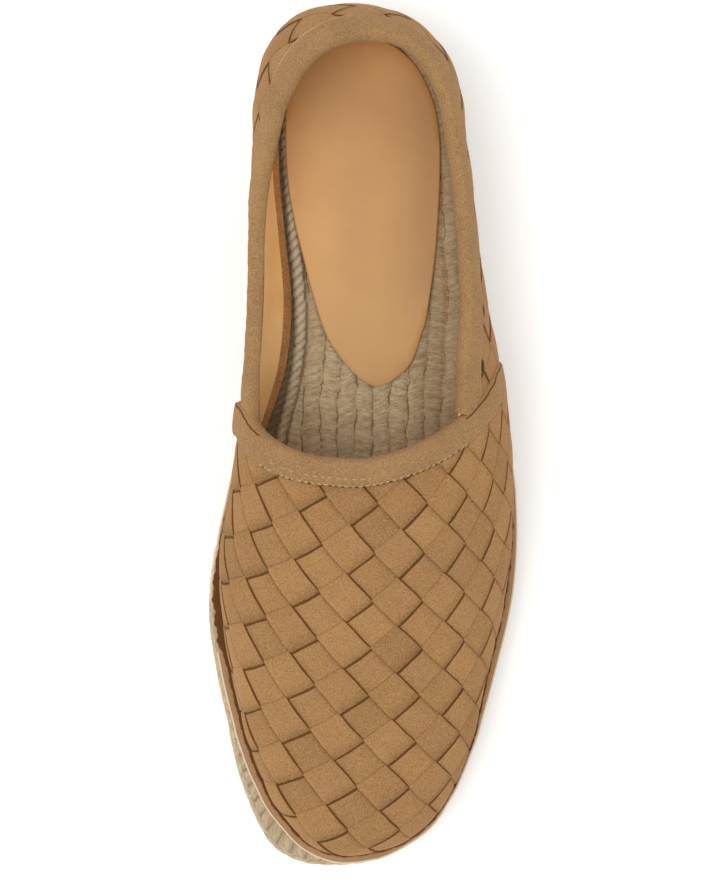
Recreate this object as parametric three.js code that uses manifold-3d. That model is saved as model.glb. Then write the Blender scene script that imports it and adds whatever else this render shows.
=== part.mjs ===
import * as THREE from "three";
import Module from "manifold-3d";

const wasm = await Module();
wasm.setup();
const { Manifold, CrossSection } = wasm;

// Left shoe, standing on its sole: toe to -Y, heel to +Y, inner side to -X. Millimetres.
const TOE_Y = -98; // centre of the toe's fan of sections
const HEEL_Y = 104; // centre of the heel's fan of sections
const FAN_ARC = 38; // mean radius used to measure along the heel
const WALL = 2.1; // suede and lining together
const LAP = 0.9; // the vamp stands this much outside the quarter
const RELIEF = 0.95; // rise of a strip at the middle of its float
const CUT_STEP = 0.07; // width of a strip's cut edge, in strips
const GAP = 0.3; // clearance between pieces
const SKIN_ROOM = 0.45; // clearance outside the woven wall, whose facets vary more
const LINING_ROOM = 0.7; // clearance inside a fold, where the wall's facets cut the corner
const BAND_WIDTH = 7.2;
const BAND_THICK = 1.0;
const BINDING_WIDTH = 7.5;
const BINDING_THICK = 1.4;
const HEM_THICK = 1.4;
const HEM_REACH = 2.7;
const INSOLE_THICK = 1.2;
const FOOTBED_DROP = 1.0;
const ROPE_ROWS = 3;
const ROPE_DEPTH = 1.1;

// A weave's start and the small diamond's diagonals, then how lasting pulls it out of square:
// lean of its columns and rows, sway of the columns, bow of the rows, narrowing to the sides.
const VAMP_WEAVE = { x: 0.9, y: -29, across: 17.7, along: 16, leanX: -1.3, leanY: -2.9, skew: -0.33,
  sway: -0.35, narrow: -0.16, gather: -0.1, bow: 1.73, spread: 0.16, stretch: 0.09, droop: -0.09 };
const QUARTER_WEAVE = { x: 0, y: 14, across: 19, along: 15.2, leanX: 0, leanY: 0, skew: 0,
  sway: 0, narrow: 0, gather: 0, bow: 0, spread: 0, stretch: 0, droop: 0 };
const WEAVE_EDGE = 3.4; // diamonds from the middle, beyond which the strips run on straight

// Cross-sections from heel to toe, the inner half and the outer half: x of the spine, height of the
// last's ridge, reach of the foot line, reach and height of the belly, reach of the rope sole.
const INNER_SIDE = [
  { y: 104, spine: -3, ridge: 80, foot: 28, belly: 34.3, high: 42, rope: 32, full: 1.95 },
  { y: 85, spine: -2, ridge: 78, foot: 28.5, belly: 35.8, high: 49, rope: 32.5, full: 2.15 },
  { y: 65, spine: -1, ridge: 78, foot: 27.5, belly: 37.0, high: 55, rope: 31, full: 2.3 },
  { y: 45, spine: 0, ridge: 78, foot: 26.5, belly: 38.4, high: 57, rope: 29.8, full: 2.4 },
  { y: 25, spine: 0, ridge: 76.5, foot: 28, belly: 39.4, high: 54, rope: 31.5, full: 2.4 },
  { y: 10, spine: -1, ridge: 73.5, foot: 31.5, belly: 39.8, high: 46, rope: 35, full: 2.3 },
  { y: -5, spine: -3, ridge: 69.5, foot: 35.2, belly: 39.2, high: 39, rope: 37.6, full: 2.3 },
  { y: -20, spine: -5, ridge: 65, foot: 37.2, belly: 39.2, high: 34, rope: 39.3, full: 2.3 },
  { y: -40, spine: -8, ridge: 59, foot: 37.9, belly: 39.8, high: 30, rope: 41.8, full: 2.3 },
  { y: -60, spine: -9, ridge: 53.5, foot: 36.1, belly: 38.1, high: 28.5, rope: 42.4, full: 2.3 },
  { y: -80, spine: -9, ridge: 48.5, foot: 32.9, belly: 34.9, high: 27.5, rope: 39.7, full: 2.3 },
  { y: -98, spine: -9, ridge: 44.5, foot: 28.8, belly: 30.6, high: 27.5, rope: 35.7, full: 2.3 },
];
const OUTER_SIDE = [
  { y: 104, spine: -3, ridge: 80, foot: 33, belly: 35.8, high: 42, rope: 36.5, full: 2.15 },
  { y: 85, spine: -2, ridge: 78, foot: 34.5, belly: 37.6, high: 40, rope: 37.5, full: 2.2 },
  { y: 65, spine: -1, ridge: 78, foot: 35.5, belly: 38.8, high: 38, rope: 38.5, full: 2.15 },
  { y: 45, spine: 0, ridge: 78, foot: 37, belly: 40.8, high: 37, rope: 41.8, full: 2.05 },
  { y: 25, spine: 0, ridge: 76.5, foot: 41, belly: 45.0, high: 35, rope: 45.7, full: 1.85 },
  { y: 10, spine: -1, ridge: 73.5, foot: 45, belly: 48.2, high: 33, rope: 49.2, full: 1.9 },
  { y: -5, spine: -3, ridge: 69.5, foot: 48.5, belly: 51.7, high: 31, rope: 53.2, full: 1.92 },
  { y: -20, spine: -5, ridge: 65, foot: 51.5, belly: 54.6, high: 30, rope: 57.0, full: 1.92 },
  { y: -40, spine: -8, ridge: 59, foot: 54.8, belly: 57.1, high: 29, rope: 60.2, full: 1.9 },
  { y: -60, spine: -9, ridge: 53.5, foot: 53.0, belly: 55.2, high: 28, rope: 58.9, full: 1.9 },
  { y: -80, spine: -9, ridge: 48.5, foot: 48.4, belly: 50.4, high: 27, rope: 53.9, full: 1.95 },
  { y: -98, spine: -9, ridge: 44.5, foot: 44.8, belly: 46.6, high: 26.5, rope: 49.0, full: 2.0 },
];

// Fans of sections round the toe and the heel, by the angle from the inner side.
const TOE_FAN = [
  { angle: 0, ridge: 44.5, foot: 28.8, belly: 30.6, high: 27.5, rope: 35.7, full: 2.3 },
  { angle: 15, ridge: 44.5, foot: 27.5, belly: 29.2, high: 27.5, rope: 35.2, full: 2.3 },
  { angle: 35, ridge: 44.5, foot: 28.2, belly: 29.8, high: 27.6, rope: 37.1, full: 2.3 },
  { angle: 50, ridge: 44.5, foot: 30.6, belly: 32.3, high: 27.8, rope: 40.8, full: 2.35 },
  { angle: 62, ridge: 44.5, foot: 32.9, belly: 34.7, high: 28, rope: 44.8, full: 2.4 },
  { angle: 75, ridge: 44.5, foot: 36.7, belly: 38.6, high: 28.4, rope: 46.3, full: 2.45 },
  { angle: 90, ridge: 44.5, foot: 39.7, belly: 41.6, high: 28.6, rope: 46.0, full: 2.45 },
  { angle: 105, ridge: 44.5, foot: 40.6, belly: 42.5, high: 28.6, rope: 46.3, full: 2.4 },
  { angle: 120, ridge: 44.5, foot: 41.9, belly: 43.8, high: 28.2, rope: 46.4, full: 2.3 },
  { angle: 135, ridge: 44.5, foot: 42.1, belly: 44.0, high: 27.6, rope: 46.6, full: 2.2 },
  { angle: 150, ridge: 44.5, foot: 41.9, belly: 43.8, high: 27, rope: 45.6, full: 2.1 },
  { angle: 165, ridge: 44.5, foot: 42.4, belly: 44.2, high: 26.7, rope: 46.1, full: 2.05 },
  { angle: 180, ridge: 44.5, foot: 44.8, belly: 46.6, high: 26.5, rope: 49.0, full: 2.0 },
];
const HEEL_FAN = [
  { angle: 0, ridge: 80, foot: 28, belly: 34.3, high: 42, rope: 32, full: 1.95 },
  { angle: 20, ridge: 80.5, foot: 29.4, belly: 35.2, high: 41, rope: 33, full: 1.85 },
  { angle: 40, ridge: 81.5, foot: 33, belly: 38.5, high: 40, rope: 36.5, full: 1.8 },
  { angle: 60, ridge: 82, foot: 35.6, belly: 40.5, high: 39, rope: 39.3, full: 1.9 },
  { angle: 90, ridge: 82, foot: 36, belly: 39.0, high: 38, rope: 40.7, full: 2.3 },
  { angle: 120, ridge: 82, foot: 34.9, belly: 38.7, high: 38, rope: 38.8, full: 2.4 },
  { angle: 140, ridge: 81.5, foot: 34, belly: 37.8, high: 39, rope: 37.4, full: 2.25 },
  { angle: 160, ridge: 80.5, foot: 33, belly: 36.4, high: 41, rope: 36.6, full: 2.15 },
  { angle: 180, ridge: 80, foot: 33, belly: 35.8, high: 42, rope: 36.5, full: 2.15 },
];

// Heights along the shoe: top of the rope sole's rim, and its underside.
const HEIGHTS = [
  { y: 145, rim: 25.2, under: 1.6 },
  { y: 136, rim: 25.0, under: 0 },
  { y: 104, rim: 24.3, under: 0 },
  { y: 62, rim: 22.4, under: 0 },
  { y: 40, rim: 20.9, under: 1.3 },
  { y: 18, rim: 19.4, under: 1.3 },
  { y: -6, rim: 18.2, under: 0 },
  { y: -40, rim: 17.6, under: 0 },
  { y: -74, rim: 17.8, under: 0 },
  { y: -100, rim: 18.6, under: 1.1 },
  { y: -122, rim: 19.8, under: 3.1 },
  { y: -145, rim: 21.6, under: 6.0 },
];

// Height of the quarter's top edge, round from the inner front end to the outer one.
const COLLAR = [
  { along: 172, height: 53.5 },
  { along: 154, height: 55.5 },
  { along: 136, height: 57.2 },
  { along: 116, height: 58 },
  { along: 90, height: 59 },
  { along: 60, height: 63 },
  { along: 36, height: 68 },
  { along: 12, height: 71.5 },
  { along: 0, height: 72 },
  { along: -12, height: 71.5 },
  { along: -36, height: 67.5 },
  { along: -60, height: 62.5 },
  { along: -90, height: 58.5 },
  { along: -116, height: 59.5 },
  { along: -136, height: 62 },
  { along: -154, height: 61.5 },
  { along: -172, height: 60 },
];

// Rear edge of the vamp in plan, from the inner side's foot over the instep to the outer side's.
const THROAT = [
  { x: -40.6, y: 8.9 },
  { x: -37.8, y: 3.2 },
  { x: -33.8, y: -1.1 },
  { x: -26.1, y: -5.6 },
  { x: -18.8, y: -7.8 },
  { x: -10.0, y: -8.9 },
  { x: -1.4, y: -9.2 },
  { x: 7.4, y: -7.4 },
  { x: 14.9, y: -4.8 },
  { x: 22.6, y: -1.1 },
  { x: 29.7, y: 3.5 },
  { x: 35.7, y: 9.1 },
  { x: 40.6, y: 15.7 },
  { x: 44.0, y: 21.8 },
];
const THROAT_FOOT_INNER = 11.5; // y where the vamp's edge meets the sole
const THROAT_FOOT_OUTER = 25.5;
const QUARTER_END_INNER = 172; // along the quarter, hidden under the vamp
const QUARTER_END_OUTER = -172;

// Leather half sock in plan.
const SOCK = [
  { x: -14.5, y: 130.5 },
  { x: -21.2, y: 123.5 },
  { x: -25.0, y: 113 },
  { x: -26.0, y: 101 },
  { x: -25.2, y: 85 },
  { x: -23, y: 72 },
  { x: -19.5, y: 58 },
  { x: -17.2, y: 49 },
  { x: -12.8, y: 35.3 },
  { x: -8.2, y: 27.4 },
  { x: -2.5, y: 20.9 },
  { x: 2.5, y: 17.3 },
  { x: 7.0, y: 17.2 },
  { x: 12.2, y: 20.3 },
  { x: 16.6, y: 25.2 },
  { x: 19.6, y: 34 },
  { x: 21.6, y: 41 },
  { x: 24.1, y: 58.3 },
  { x: 25.2, y: 72.6 },
  { x: 25.9, y: 90 },
  { x: 25.5, y: 101 },
  { x: 23.4, y: 112 },
  { x: 17.8, y: 123.5 },
  { x: 9.5, y: 130.8 },
  { x: -2, y: 133.6 },
];

const clamp = (v, a, b) => Math.max(a, Math.min(b, v));

// Smooth curve through the rows of a table, for one of its columns.
function read(rows, key, name, at) {
  const up = rows[rows.length - 1][key] > rows[0][key] ? 1 : -1;
  const t = clamp(at * up, rows[0][key] * up, rows[rows.length - 1][key] * up);
  let i = 0;
  while (i < rows.length - 2 && t > rows[i + 1][key] * up) i++;
  const k = (j) => rows[clamp(j, 0, rows.length - 1)][key] * up;
  const v = (j) => rows[clamp(j, 0, rows.length - 1)][name];
  const slope = (j) => (k(j + 1) === k(j - 1) ? 0 : (v(j + 1) - v(j - 1)) / (k(j + 1) - k(j - 1)));
  const span = k(i + 1) - k(i);
  const f = (t - k(i)) / span;
  const f2 = f * f;
  const f3 = f2 * f;
  return (2 * f3 - 3 * f2 + 1) * v(i) + (f3 - 2 * f2 + f) * span * slope(i)
    + (3 * f2 - 2 * f3) * v(i + 1) + (f3 - f2) * span * slope(i + 1);
}

const rimAt = (y) => read(HEIGHTS, "y", "rim", y);
const underAt = (y) => Math.max(0, read(HEIGHTS, "y", "under", y));

// A station is one upright half-section: its centre, its direction and its sizes.
const stationCache = new Map();
function station(kind, at) {
  const name = kind + at.toFixed(6);
  if (stationCache.has(name)) return stationCache.get(name);
  let s;
  if (kind === "inner" || kind === "outer") {
    const rows = kind === "inner" ? INNER_SIDE : OUTER_SIDE;
    const col = (c) => read(rows, "y", c, at);
    s = { cx: col("spine"), cy: at, nx: kind === "inner" ? -1 : 1, ny: 0, ridge: col("ridge"),
      foot: col("foot"), belly: col("belly"), high: col("high"), rope: col("rope"), full: col("full") };
  } else {
    const rows = kind === "toe" ? TOE_FAN : HEEL_FAN;
    const col = (c) => read(rows, "angle", c, at);
    const a = at * Math.PI / 180;
    const cy = kind === "toe" ? TOE_Y : HEEL_Y;
    s = { cx: read(INNER_SIDE, "y", "spine", cy), cy, nx: -Math.cos(a),
      ny: Math.sin(a) * (kind === "toe" ? -1 : 1), ridge: col("ridge"), foot: col("foot"),
      belly: col("belly"), high: col("high"), rope: col("rope"), full: col("full") };
  }
  const low = rimAt(s.cy + s.ny * s.foot) + GAP + 0.2;
  const curve = [];
  for (let i = 0; i <= 14; i++) {
    const f = i / 14;
    curve.push([s.foot + (s.belly - s.foot) * (1 - (1 - f) ** 2), low + (s.high - low) * f]);
  }
  for (let i = 1; i <= 30; i++) {
    const a = i / 30 * Math.PI / 2;
    const c = i === 30 ? 0 : Math.cos(a);
    curve.push([s.belly * c ** (2 / s.full), s.high + (s.ridge - s.high) * Math.sin(a) ** (2 / s.full)]);
  }
  const length = [0];
  for (let i = 1; i < curve.length; i++) {
    length.push(length[i - 1] + Math.hypot(curve[i][0] - curve[i - 1][0], curve[i][1] - curve[i - 1][1]));
  }
  s.curve = curve;
  s.length = length;
  s.whole = length[length.length - 1];
  stationCache.set(name, s);
  return s;
}

// Reach and height on a half-section at a distance along it, up from the foot line.
function onSection(s, w) {
  const t = clamp(w, 0, s.whole);
  let lo = 0;
  let hi = s.length.length - 1;
  while (hi - lo > 1) {
    const mid = (lo + hi) >> 1;
    if (s.length[mid] <= t) lo = mid; else hi = mid;
  }
  const f = (t - s.length[lo]) / (s.length[hi] - s.length[lo]);
  const r = s.curve[lo][0] + (s.curve[hi][0] - s.curve[lo][0]) * f;
  const z = s.curve[lo][1] + (s.curve[hi][1] - s.curve[lo][1]) * f;
  return [r, z];
}
const place = (s, w) => {
  const [r, z] = onSection(s, w);
  return [s.cx + s.nx * r, s.cy + s.ny * r, z];
};

// The vamp's flat pattern: x across from the ridge, y along the shoe, and a fan round the toe.
function vampStation(x, y) {
  if (y >= TOE_Y) return [station(x < 0 ? "inner" : "outer", y), Math.abs(x)];
  const reach = Math.hypot(x, y - TOE_Y);
  return [station("toe", Math.atan2(TOE_Y - y, -x) * 180 / Math.PI), reach];
}
const vampPoint = (x, y) => {
  const [s, reach] = vampStation(x, y);
  return place(s, s.whole - reach);
};

// The quarter's flat pattern: x round the heel from its back, plus to the inner side, y up the wall.
function quarterStation(x) {
  const arc = FAN_ARC * Math.PI / 2;
  if (Math.abs(x) <= arc) return station("heel", 90 - x / arc * 90);
  return station(x > 0 ? "inner" : "outer", HEEL_Y - (Math.abs(x) - arc));
}
const quarterPoint = (x, y) => place(quarterStation(x), y);

// How far up the wall the quarter's top edge lies.
function collarAt(x) {
  const s = quarterStation(x);
  const height = read(COLLAR, "along", "height", x);
  let i = 0;
  while (i < s.curve.length - 2 && s.curve[i + 1][1] < height) i++;
  const f = clamp((height - s.curve[i][1]) / (s.curve[i + 1][1] - s.curve[i][1]), 0, 1);
  return s.length[i] + (s.length[i + 1] - s.length[i]) * f;
}

// Lays a flat piece on the last: its own z becomes the distance out from the surface.
function lastOver(flat, point) {
  const e = 0.4;
  return flat.warp((v) => {
    const p = point(v[0], v[1]);
    const a = point(v[0] + e, v[1]);
    const b = point(v[0] - e, v[1]);
    const c = point(v[0], v[1] + e);
    const d = point(v[0], v[1] - e);
    const n = new THREE.Vector3(a[0] - b[0], a[1] - b[1], a[2] - b[2])
      .cross(new THREE.Vector3(c[0] - d[0], c[1] - d[1], c[2] - d[2])).normalize();
    const h = v[2];
    v[0] = p[0] + n.x * h;
    v[1] = p[1] + n.y * h;
    v[2] = p[2] + n.z * h;
  });
}

// Place of a crossing in the flat pattern. u and v count strips along the two diagonals.
function crossing(w, u, v) {
  const q = (u - v) / 2;
  const bent = (p) => [
    w.x + w.across * p + w.leanX * q + w.skew * p * p + w.sway * q * q + w.narrow * p ** 3
      + w.gather * p * p * q,
    w.y + w.along * q + w.leanY * p + w.bow * p * p + w.spread * p * q + w.stretch * q * q
      + w.droop * p ** 3,
  ];
  const p = (u + v) / 2;
  const t = clamp(p, -WEAVE_EDGE, WEAVE_EDGE);
  const [a, b] = [bent(t), bent(t * 0.999)];
  const run = t === 0 ? 0 : (p - t) / (t * 0.001);
  return [a[0] + (a[0] - b[0]) * run, a[1] + (a[1] - b[1]) * run];
}

// One wall of plain weave, flat.
function weave(w, covers) {
  const spot = (u, v) => crossing(w, u, v);
  const points = [];
  const index = new Map();
  const vertex = (u, v, h, key) => {
    const name = `${Math.round(u * 1000)},${Math.round(v * 1000)},${key}`;
    if (!index.has(name)) {
      index.set(name, points.length / 3);
      const [x, y] = spot(u, v);
      points.push(x, y, h);
    }
    return index.get(name);
  };
  const tris = [];
  const face = (ring, up) => {
    for (let i = 1; i < ring.length - 1; i++) {
      const t = [ring[0], ring[i], ring[i + 1]];
      const p = t.map((j) => [points[3 * j], points[3 * j + 1]]);
      const area = (p[1][0] - p[0][0]) * (p[2][1] - p[0][1])
        - (p[2][0] - p[0][0]) * (p[1][1] - p[0][1]);
      if ((area > 0) !== up) t.reverse();
      tris.push(...t);
    }
  };
  const tiles = new Set();
  const reach = 26;
  for (let i = -reach; i <= reach; i++) {
    for (let j = -reach; j <= reach; j++) {
      const c = [[0, 0], [1, 0], [0, 1], [1, 1]].map(([a, b]) => spot(i + a, j + b));
      if (covers(c)) tiles.add(`${i},${j}`);
    }
  }
  for (const tile of tiles) {
    const [i, j] = tile.split(",").map(Number);
    const overU = (i + j) % 2 === 0; // this float runs along u
    const at = (t, c) => (overU ? [i + t, j + c] : [i + c, j + t]);
    const top = (t, c, h, key) => vertex(...at(t, c), h, key);
    const rise = (t) => RELIEF * Math.sin(Math.PI * t);
    const low = (t, c) => top(t, c, 0, "s");
    const crest = (t, c) => top(t, c, rise(t), "s");
    const [m, n, e] = [0.3, 0.7, CUT_STEP];
    for (const [edge, inset] of [[0, e], [1, 1 - e]]) {
      face([low(0, edge), low(m, edge), crest(m, inset)], true);
      face([low(m, edge), low(n, edge), crest(n, inset), crest(m, inset)], true);
      face([low(n, edge), low(1, edge), crest(n, inset)], true);
    }
    for (const [end, near] of [[0, m], [1, n]]) {
      face([crest(near, e), low(end, 0), low(end, m), low(end, n), crest(near, 1 - e)], true);
      face([crest(near, 1 - e), low(end, n), low(end, 1)], true);
    }
    face([crest(m, e), crest(n, e), crest(n, 1 - e), crest(m, 1 - e)], true);
    const under = (t, c) => vertex(...at(t, c), -WALL + (t === 0.5 ? 0.1 : 0), "u");
    const round = [[0, 0], [1, 0], [1, 1], [0, 1]];
    for (let k = 0; k < 4; k++) {
      face([under(0.5, 0.5), under(...round[k]), under(...round[(k + 1) % 4])], false);
    }
    // Outer rim of the sheet, where no neighbour carries on.
    const sides = [[[i, j], [1, 0], `${i},${j - 1}`], [[i, j + 1], [1, 0], `${i},${j + 1}`],
      [[i, j], [0, 1], `${i - 1},${j}`], [[i + 1, j], [0, 1], `${i + 1},${j}`]];
    sides.forEach(([from, dir, other], k) => {
      if (tiles.has(other)) return;
      const spotAt = (f, key, h) => vertex(from[0] + dir[0] * f, from[1] + dir[1] * f, h, key);
      const ring = [spotAt(1, "u", -WALL), spotAt(0, "u", -WALL),
        ...[0, m, n, 1].map((f) => spotAt(f, "s", 0))];
      const turn = k === 0 || k === 3;
      const order = turn ? ring : ring.slice().reverse();
      for (let q = 1; q < order.length - 1; q++) tris.push(order[0], order[q], order[q + 1]);
    });
  }
  return new Manifold(new wasm.Mesh({ numProp: 3, vertProperties: new Float32Array(points),
    triVerts: new Uint32Array(tris) }));
}

const prism = (shape, low, high) => {
  const flat = shape instanceof CrossSection ? shape : new CrossSection([shape]);
  return Manifold.extrude(flat, high - low).translate([0, 0, low]);
};
const ccw = (ring) => (ring.reduce((sum, p, i) => {
  const q = ring[(i + 1) % ring.length];
  return sum + p[0] * q[1] - q[0] * p[1];
}, 0) < 0 ? ring.slice().reverse() : ring);

// Points of an open curve, spaced evenly and closely enough to bend over the last.
function along(rows, step) {
  const curve = new THREE.CatmullRomCurve3(rows.map((r) => new THREE.Vector3(r[0], r[1], 0)), false,
    "centripetal");
  const n = Math.max(2, Math.round(curve.getLength() / step));
  return curve.getSpacedPoints(n).map((p) => [p.x, p.y]);
}

// Vamp pattern outline: the foot line round the toe, closed by the throat edge.
function acrossAt(x, y) {
  const s = station(x < station("inner", y).cx ? "inner" : "outer", y);
  const r = Math.abs(x - s.cx);
  let i = s.curve.length - 1;
  while (i > 0 && s.curve[i - 1][0] < r && s.curve[i - 1][1] > s.high) i--;
  i = Math.max(i, 1);
  const f = clamp((r - s.curve[i][0]) / (s.curve[i - 1][0] - s.curve[i][0] || 1), 0, 1);
  return s.nx * (s.whole - (s.length[i] - (s.length[i] - s.length[i - 1]) * f));
}
const footInner = [];
for (let y = THROAT_FOOT_INNER; y > TOE_Y; y -= 6.5) footInner.push([-station("inner", y).whole, y]);
const footToe = [];
for (let a = 0; a <= 180; a += 7.5) {
  const s = station("toe", a);
  footToe.push([s.nx * s.whole, TOE_Y + s.ny * s.whole]);
}
const footOuter = [];
for (let y = THROAT_FOOT_OUTER; y > TOE_Y; y -= 6.5) footOuter.unshift([station("outer", y).whole, y]);
const footLine = [...footInner, ...footToe, ...footOuter];
const throatRows = [footLine[0], ...THROAT.map((p) => [acrossAt(p.x, p.y), p.y]),
  footLine[footLine.length - 1]];
const throatLine = along(throatRows, 4);
const vampOutline = new CrossSection([ccw([...footLine, ...throatLine.slice(1, -1).reverse()])]);

// A strip of the pattern beside the throat edge, from one distance to another, over part of it.
function throatStrip(from, to, start, end) {
  const side = (d) => throatLine.map((p, i) => {
    const a = throatLine[Math.max(0, i - 1)];
    const b = throatLine[Math.min(throatLine.length - 1, i + 1)];
    const l = Math.hypot(b[0] - a[0], b[1] - a[1]);
    return [p[0] + (b[1] - a[1]) / l * d, p[1] - (b[0] - a[0]) / l * d];
  }).slice(start, end);
  return new CrossSection([ccw([...side(from), ...side(to).reverse()])], "Positive");
}

const inside = (left, right, front, back) => (corners) => corners.some(([x, y]) => x > left && x < right
  && y > front && y < back);
const bandRebate = throatStrip(-3, BAND_WIDTH + GAP, 0, throatLine.length);
const vampFlat = weave(VAMP_WEAVE, inside(-105, 105, -170, 48))
  .intersect(prism(vampOutline, -WALL - 2, 4))
  .subtract(prism(bandRebate, 0, 4));
const vamp = lastOver(vampFlat.refineToLength(14), vampPoint);

// Quarter: a long low pattern, its top edge level with the collar.
const quarterTop = [];
for (let x = QUARTER_END_INNER; x >= QUARTER_END_OUTER; x -= 6.6) quarterTop.push([x, collarAt(x)]);
const quarterEnd = quarterTop[quarterTop.length - 1][0];
const quarterFoot = [];
for (let x = quarterEnd; x <= QUARTER_END_INNER; x += 7) {
  quarterFoot.push([x, quarterFoot.length % 2 * 0.05]);
}
const quarterOutline = new CrossSection([ccw([...quarterTop, ...quarterFoot])]);
const lowered = (d) => quarterTop.map(([x, y]) => [x, y + d]);
const collarStrip = (from, to) => new CrossSection([ccw([...lowered(from), ...lowered(to).reverse()])]);
const quarterFlat = weave(QUARTER_WEAVE, inside(-195, 195, -16, 78))
  .intersect(prism(quarterOutline, -WALL - 2, 4))
  .subtract(prism(collarStrip(-BINDING_WIDTH - 0.7, 3), 0, 4))
  .translate([0, 0, -LAP]);
const quarter = lastOver(quarterFlat.refineToLength(14), quarterPoint);
const upper = vamp.add(quarter).simplify(0.25);

// Binding: a folded strip over the quarter's edge, stopped short of the vamp.
const out = -LAP + SKIN_ROOM;
const inn = -LAP - WALL - LINING_ROOM;
const bindingFlat = prism(collarStrip(-BINDING_WIDTH, GAP), out, out + BINDING_THICK)
  .add(prism(collarStrip(-BINDING_WIDTH, GAP), inn - BINDING_THICK, inn))
  .add(prism(collarStrip(GAP, GAP + BINDING_THICK), inn - BINDING_THICK, out + BINDING_THICK));
const vampRoom = lastOver(prism(vampOutline.offset(GAP + 0.6, "Round", 2, 16), -WALL - 5, 4)
  .refineToLength(6), (x, y) => vampPoint(x, y));
const largest = (solid) => solid.decompose().sort((a, b) => b.volume() - a.volume())[0];
const binding = largest(lastOver(bindingFlat, quarterPoint).subtract(vampRoom))
  .simplify(0.04);

// Throat band: folded over the open edge, and lying flat on the vamp beside the quarter.
const count = throatLine.length;
const openFrom = Math.round(count * 0.3);
const openTo = Math.round(count * 0.62);
const bandLow = -WALL - LINING_ROOM - BAND_THICK;
const bandFlat = prism(throatStrip(-GAP, BAND_WIDTH, 1, count - 1), SKIN_ROOM, SKIN_ROOM + BAND_THICK)
  .add(prism(throatStrip(-GAP, BAND_WIDTH - 1, openFrom, openTo), bandLow, bandLow + BAND_THICK))
  .add(prism(throatStrip(-GAP - BAND_THICK, -GAP, openFrom, openTo), bandLow, SKIN_ROOM + BAND_THICK));
const footTrim = prism(vampOutline.offset(-2.5, "Round", 2, 16)
  .add(throatStrip(-3, 3, 4, count - 4)), -8, 8);
const band = lastOver(bandFlat.intersect(footTrim).refineToLength(10), vampPoint).simplify(0.04);

// Closed rings of stations round the sole.
const round = [];
const SIDE_STEPS = 18;
const sideStep = (HEEL_Y - TOE_Y) / SIDE_STEPS;
for (let i = 0; i < SIDE_STEPS; i++) round.push(station("inner", HEEL_Y - sideStep * i));
for (let a = 0; a < 179; a += 12) round.push(station("toe", a));
for (let i = 0; i < SIDE_STEPS; i++) round.push(station("outer", TOE_Y + sideStep * i));
for (let a = 180; a > 1; a -= 18) round.push(station("heel", a));

// A closed body from rings of [reach, height] for each station, closed on the spine at both ends.
function ringBody(rings) {
  const points = [];
  const index = new Map();
  const id = (p) => {
    const name = p.map((v) => Math.round(v * 1e4)).join();
    if (!index.has(name)) {
      index.set(name, points.length / 3);
      points.push(...p);
    }
    return index.get(name);
  };
  const ids = rings.map((ring) => round.map((s) => {
    const [r, z] = ring(s);
    return id([s.cx + s.nx * r, s.cy + s.ny * r, z]);
  }));
  const tris = [];
  const add = (a, b, c) => {
    if (a !== b && b !== c && a !== c) tris.push(a, b, c);
  };
  for (let k = 0; k < ids.length - 1; k++) {
    for (let i = 0; i < round.length; i++) {
      const j = (i + 1) % round.length;
      add(ids[k][i], ids[k][j], ids[k + 1][j]);
      add(ids[k][i], ids[k + 1][j], ids[k + 1][i]);
    }
  }
  return new Manifold(new wasm.Mesh({ numProp: 3, vertProperties: new Float32Array(points),
    triVerts: new Uint32Array(tris) }));
}

// Rope sole: three rope rows at its side, a flat underside with the toe's lift, a rim and a footbed.
const soleRings = [(s) => [0, underAt(s.cy)]];
const soleSide = (s, inset, f) => {
  const r = s.rope - inset;
  const y = s.cy + s.ny * r;
  return [r, underAt(y) + (rimAt(y) - underAt(y)) * f];
};
soleRings.push((s) => {
  const r = s.foot * 0.5;
  return [r, underAt(s.cy + s.ny * r)];
});
soleRings.push((s) => soleSide(s, 2.0, 0));
for (let row = 0; row < ROPE_ROWS; row++) {
  const f = (g) => (row + g) / ROPE_ROWS;
  if (row > 0) soleRings.push((s) => soleSide(s, ROPE_DEPTH, f(0)));
  soleRings.push((s) => soleSide(s, row === 0 ? 0.3 : 0, f(0.28)));
  soleRings.push((s) => soleSide(s, 0, f(0.72)));
}
soleRings.push((s) => soleSide(s, 1.6, 1));
soleRings.push((s) => {
  const r = s.foot - WALL - LAP;
  return [r, rimAt(s.cy + s.ny * r)];
});
soleRings.push((s) => {
  const r = s.foot - WALL - LAP - 0.8;
  return [r, rimAt(s.cy + s.ny * r) - FOOTBED_DROP];
});
soleRings.push((s) => {
  const r = (s.foot - WALL) * 0.45;
  return [r, rimAt(s.cy + s.ny * r) - FOOTBED_DROP];
});
soleRings.push((s) => [0, rimAt(s.cy) - FOOTBED_DROP]);
const sole = ringBody(soleRings);

// Hem strip on the rim, between the wall and the rope's edge.
const ringFlat = (reach) => new CrossSection([ccw(round.map((s) => {
  const r = reach(s);
  return [s.cx + s.nx * r, s.cy + s.ny * r];
}))]);
const hemInner = (s) => onSection(s, 2.0)[0] + GAP + RELIEF * 0.9;
const hemOuter = (s) => Math.max(hemInner(s) + 1.2, Math.min(s.belly + HEM_REACH, s.rope - 0.9,
  s.foot + 5.2));
const hem = prism(ringFlat(hemOuter).subtract(ringFlat(hemInner)), GAP, GAP + HEM_THICK)
  .refineToLength(12).warp((v) => {
    v[2] += rimAt(v[1]);
  });

// Half sock, a thin plate that follows the footbed.
const sockCurve = new THREE.CatmullRomCurve3(SOCK.map((p) => new THREE.Vector3(p.x, p.y, 0)), true,
  "centripetal").getSpacedPoints(48).slice(0, -1).map((p) => [p.x, p.y]);
const sock = prism(ccw(sockCurve), GAP, GAP + INSOLE_THICK).refineToLength(20).warp((v) => {
  v[2] += rimAt(v[1]) - FOOTBED_DROP;
});

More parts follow.
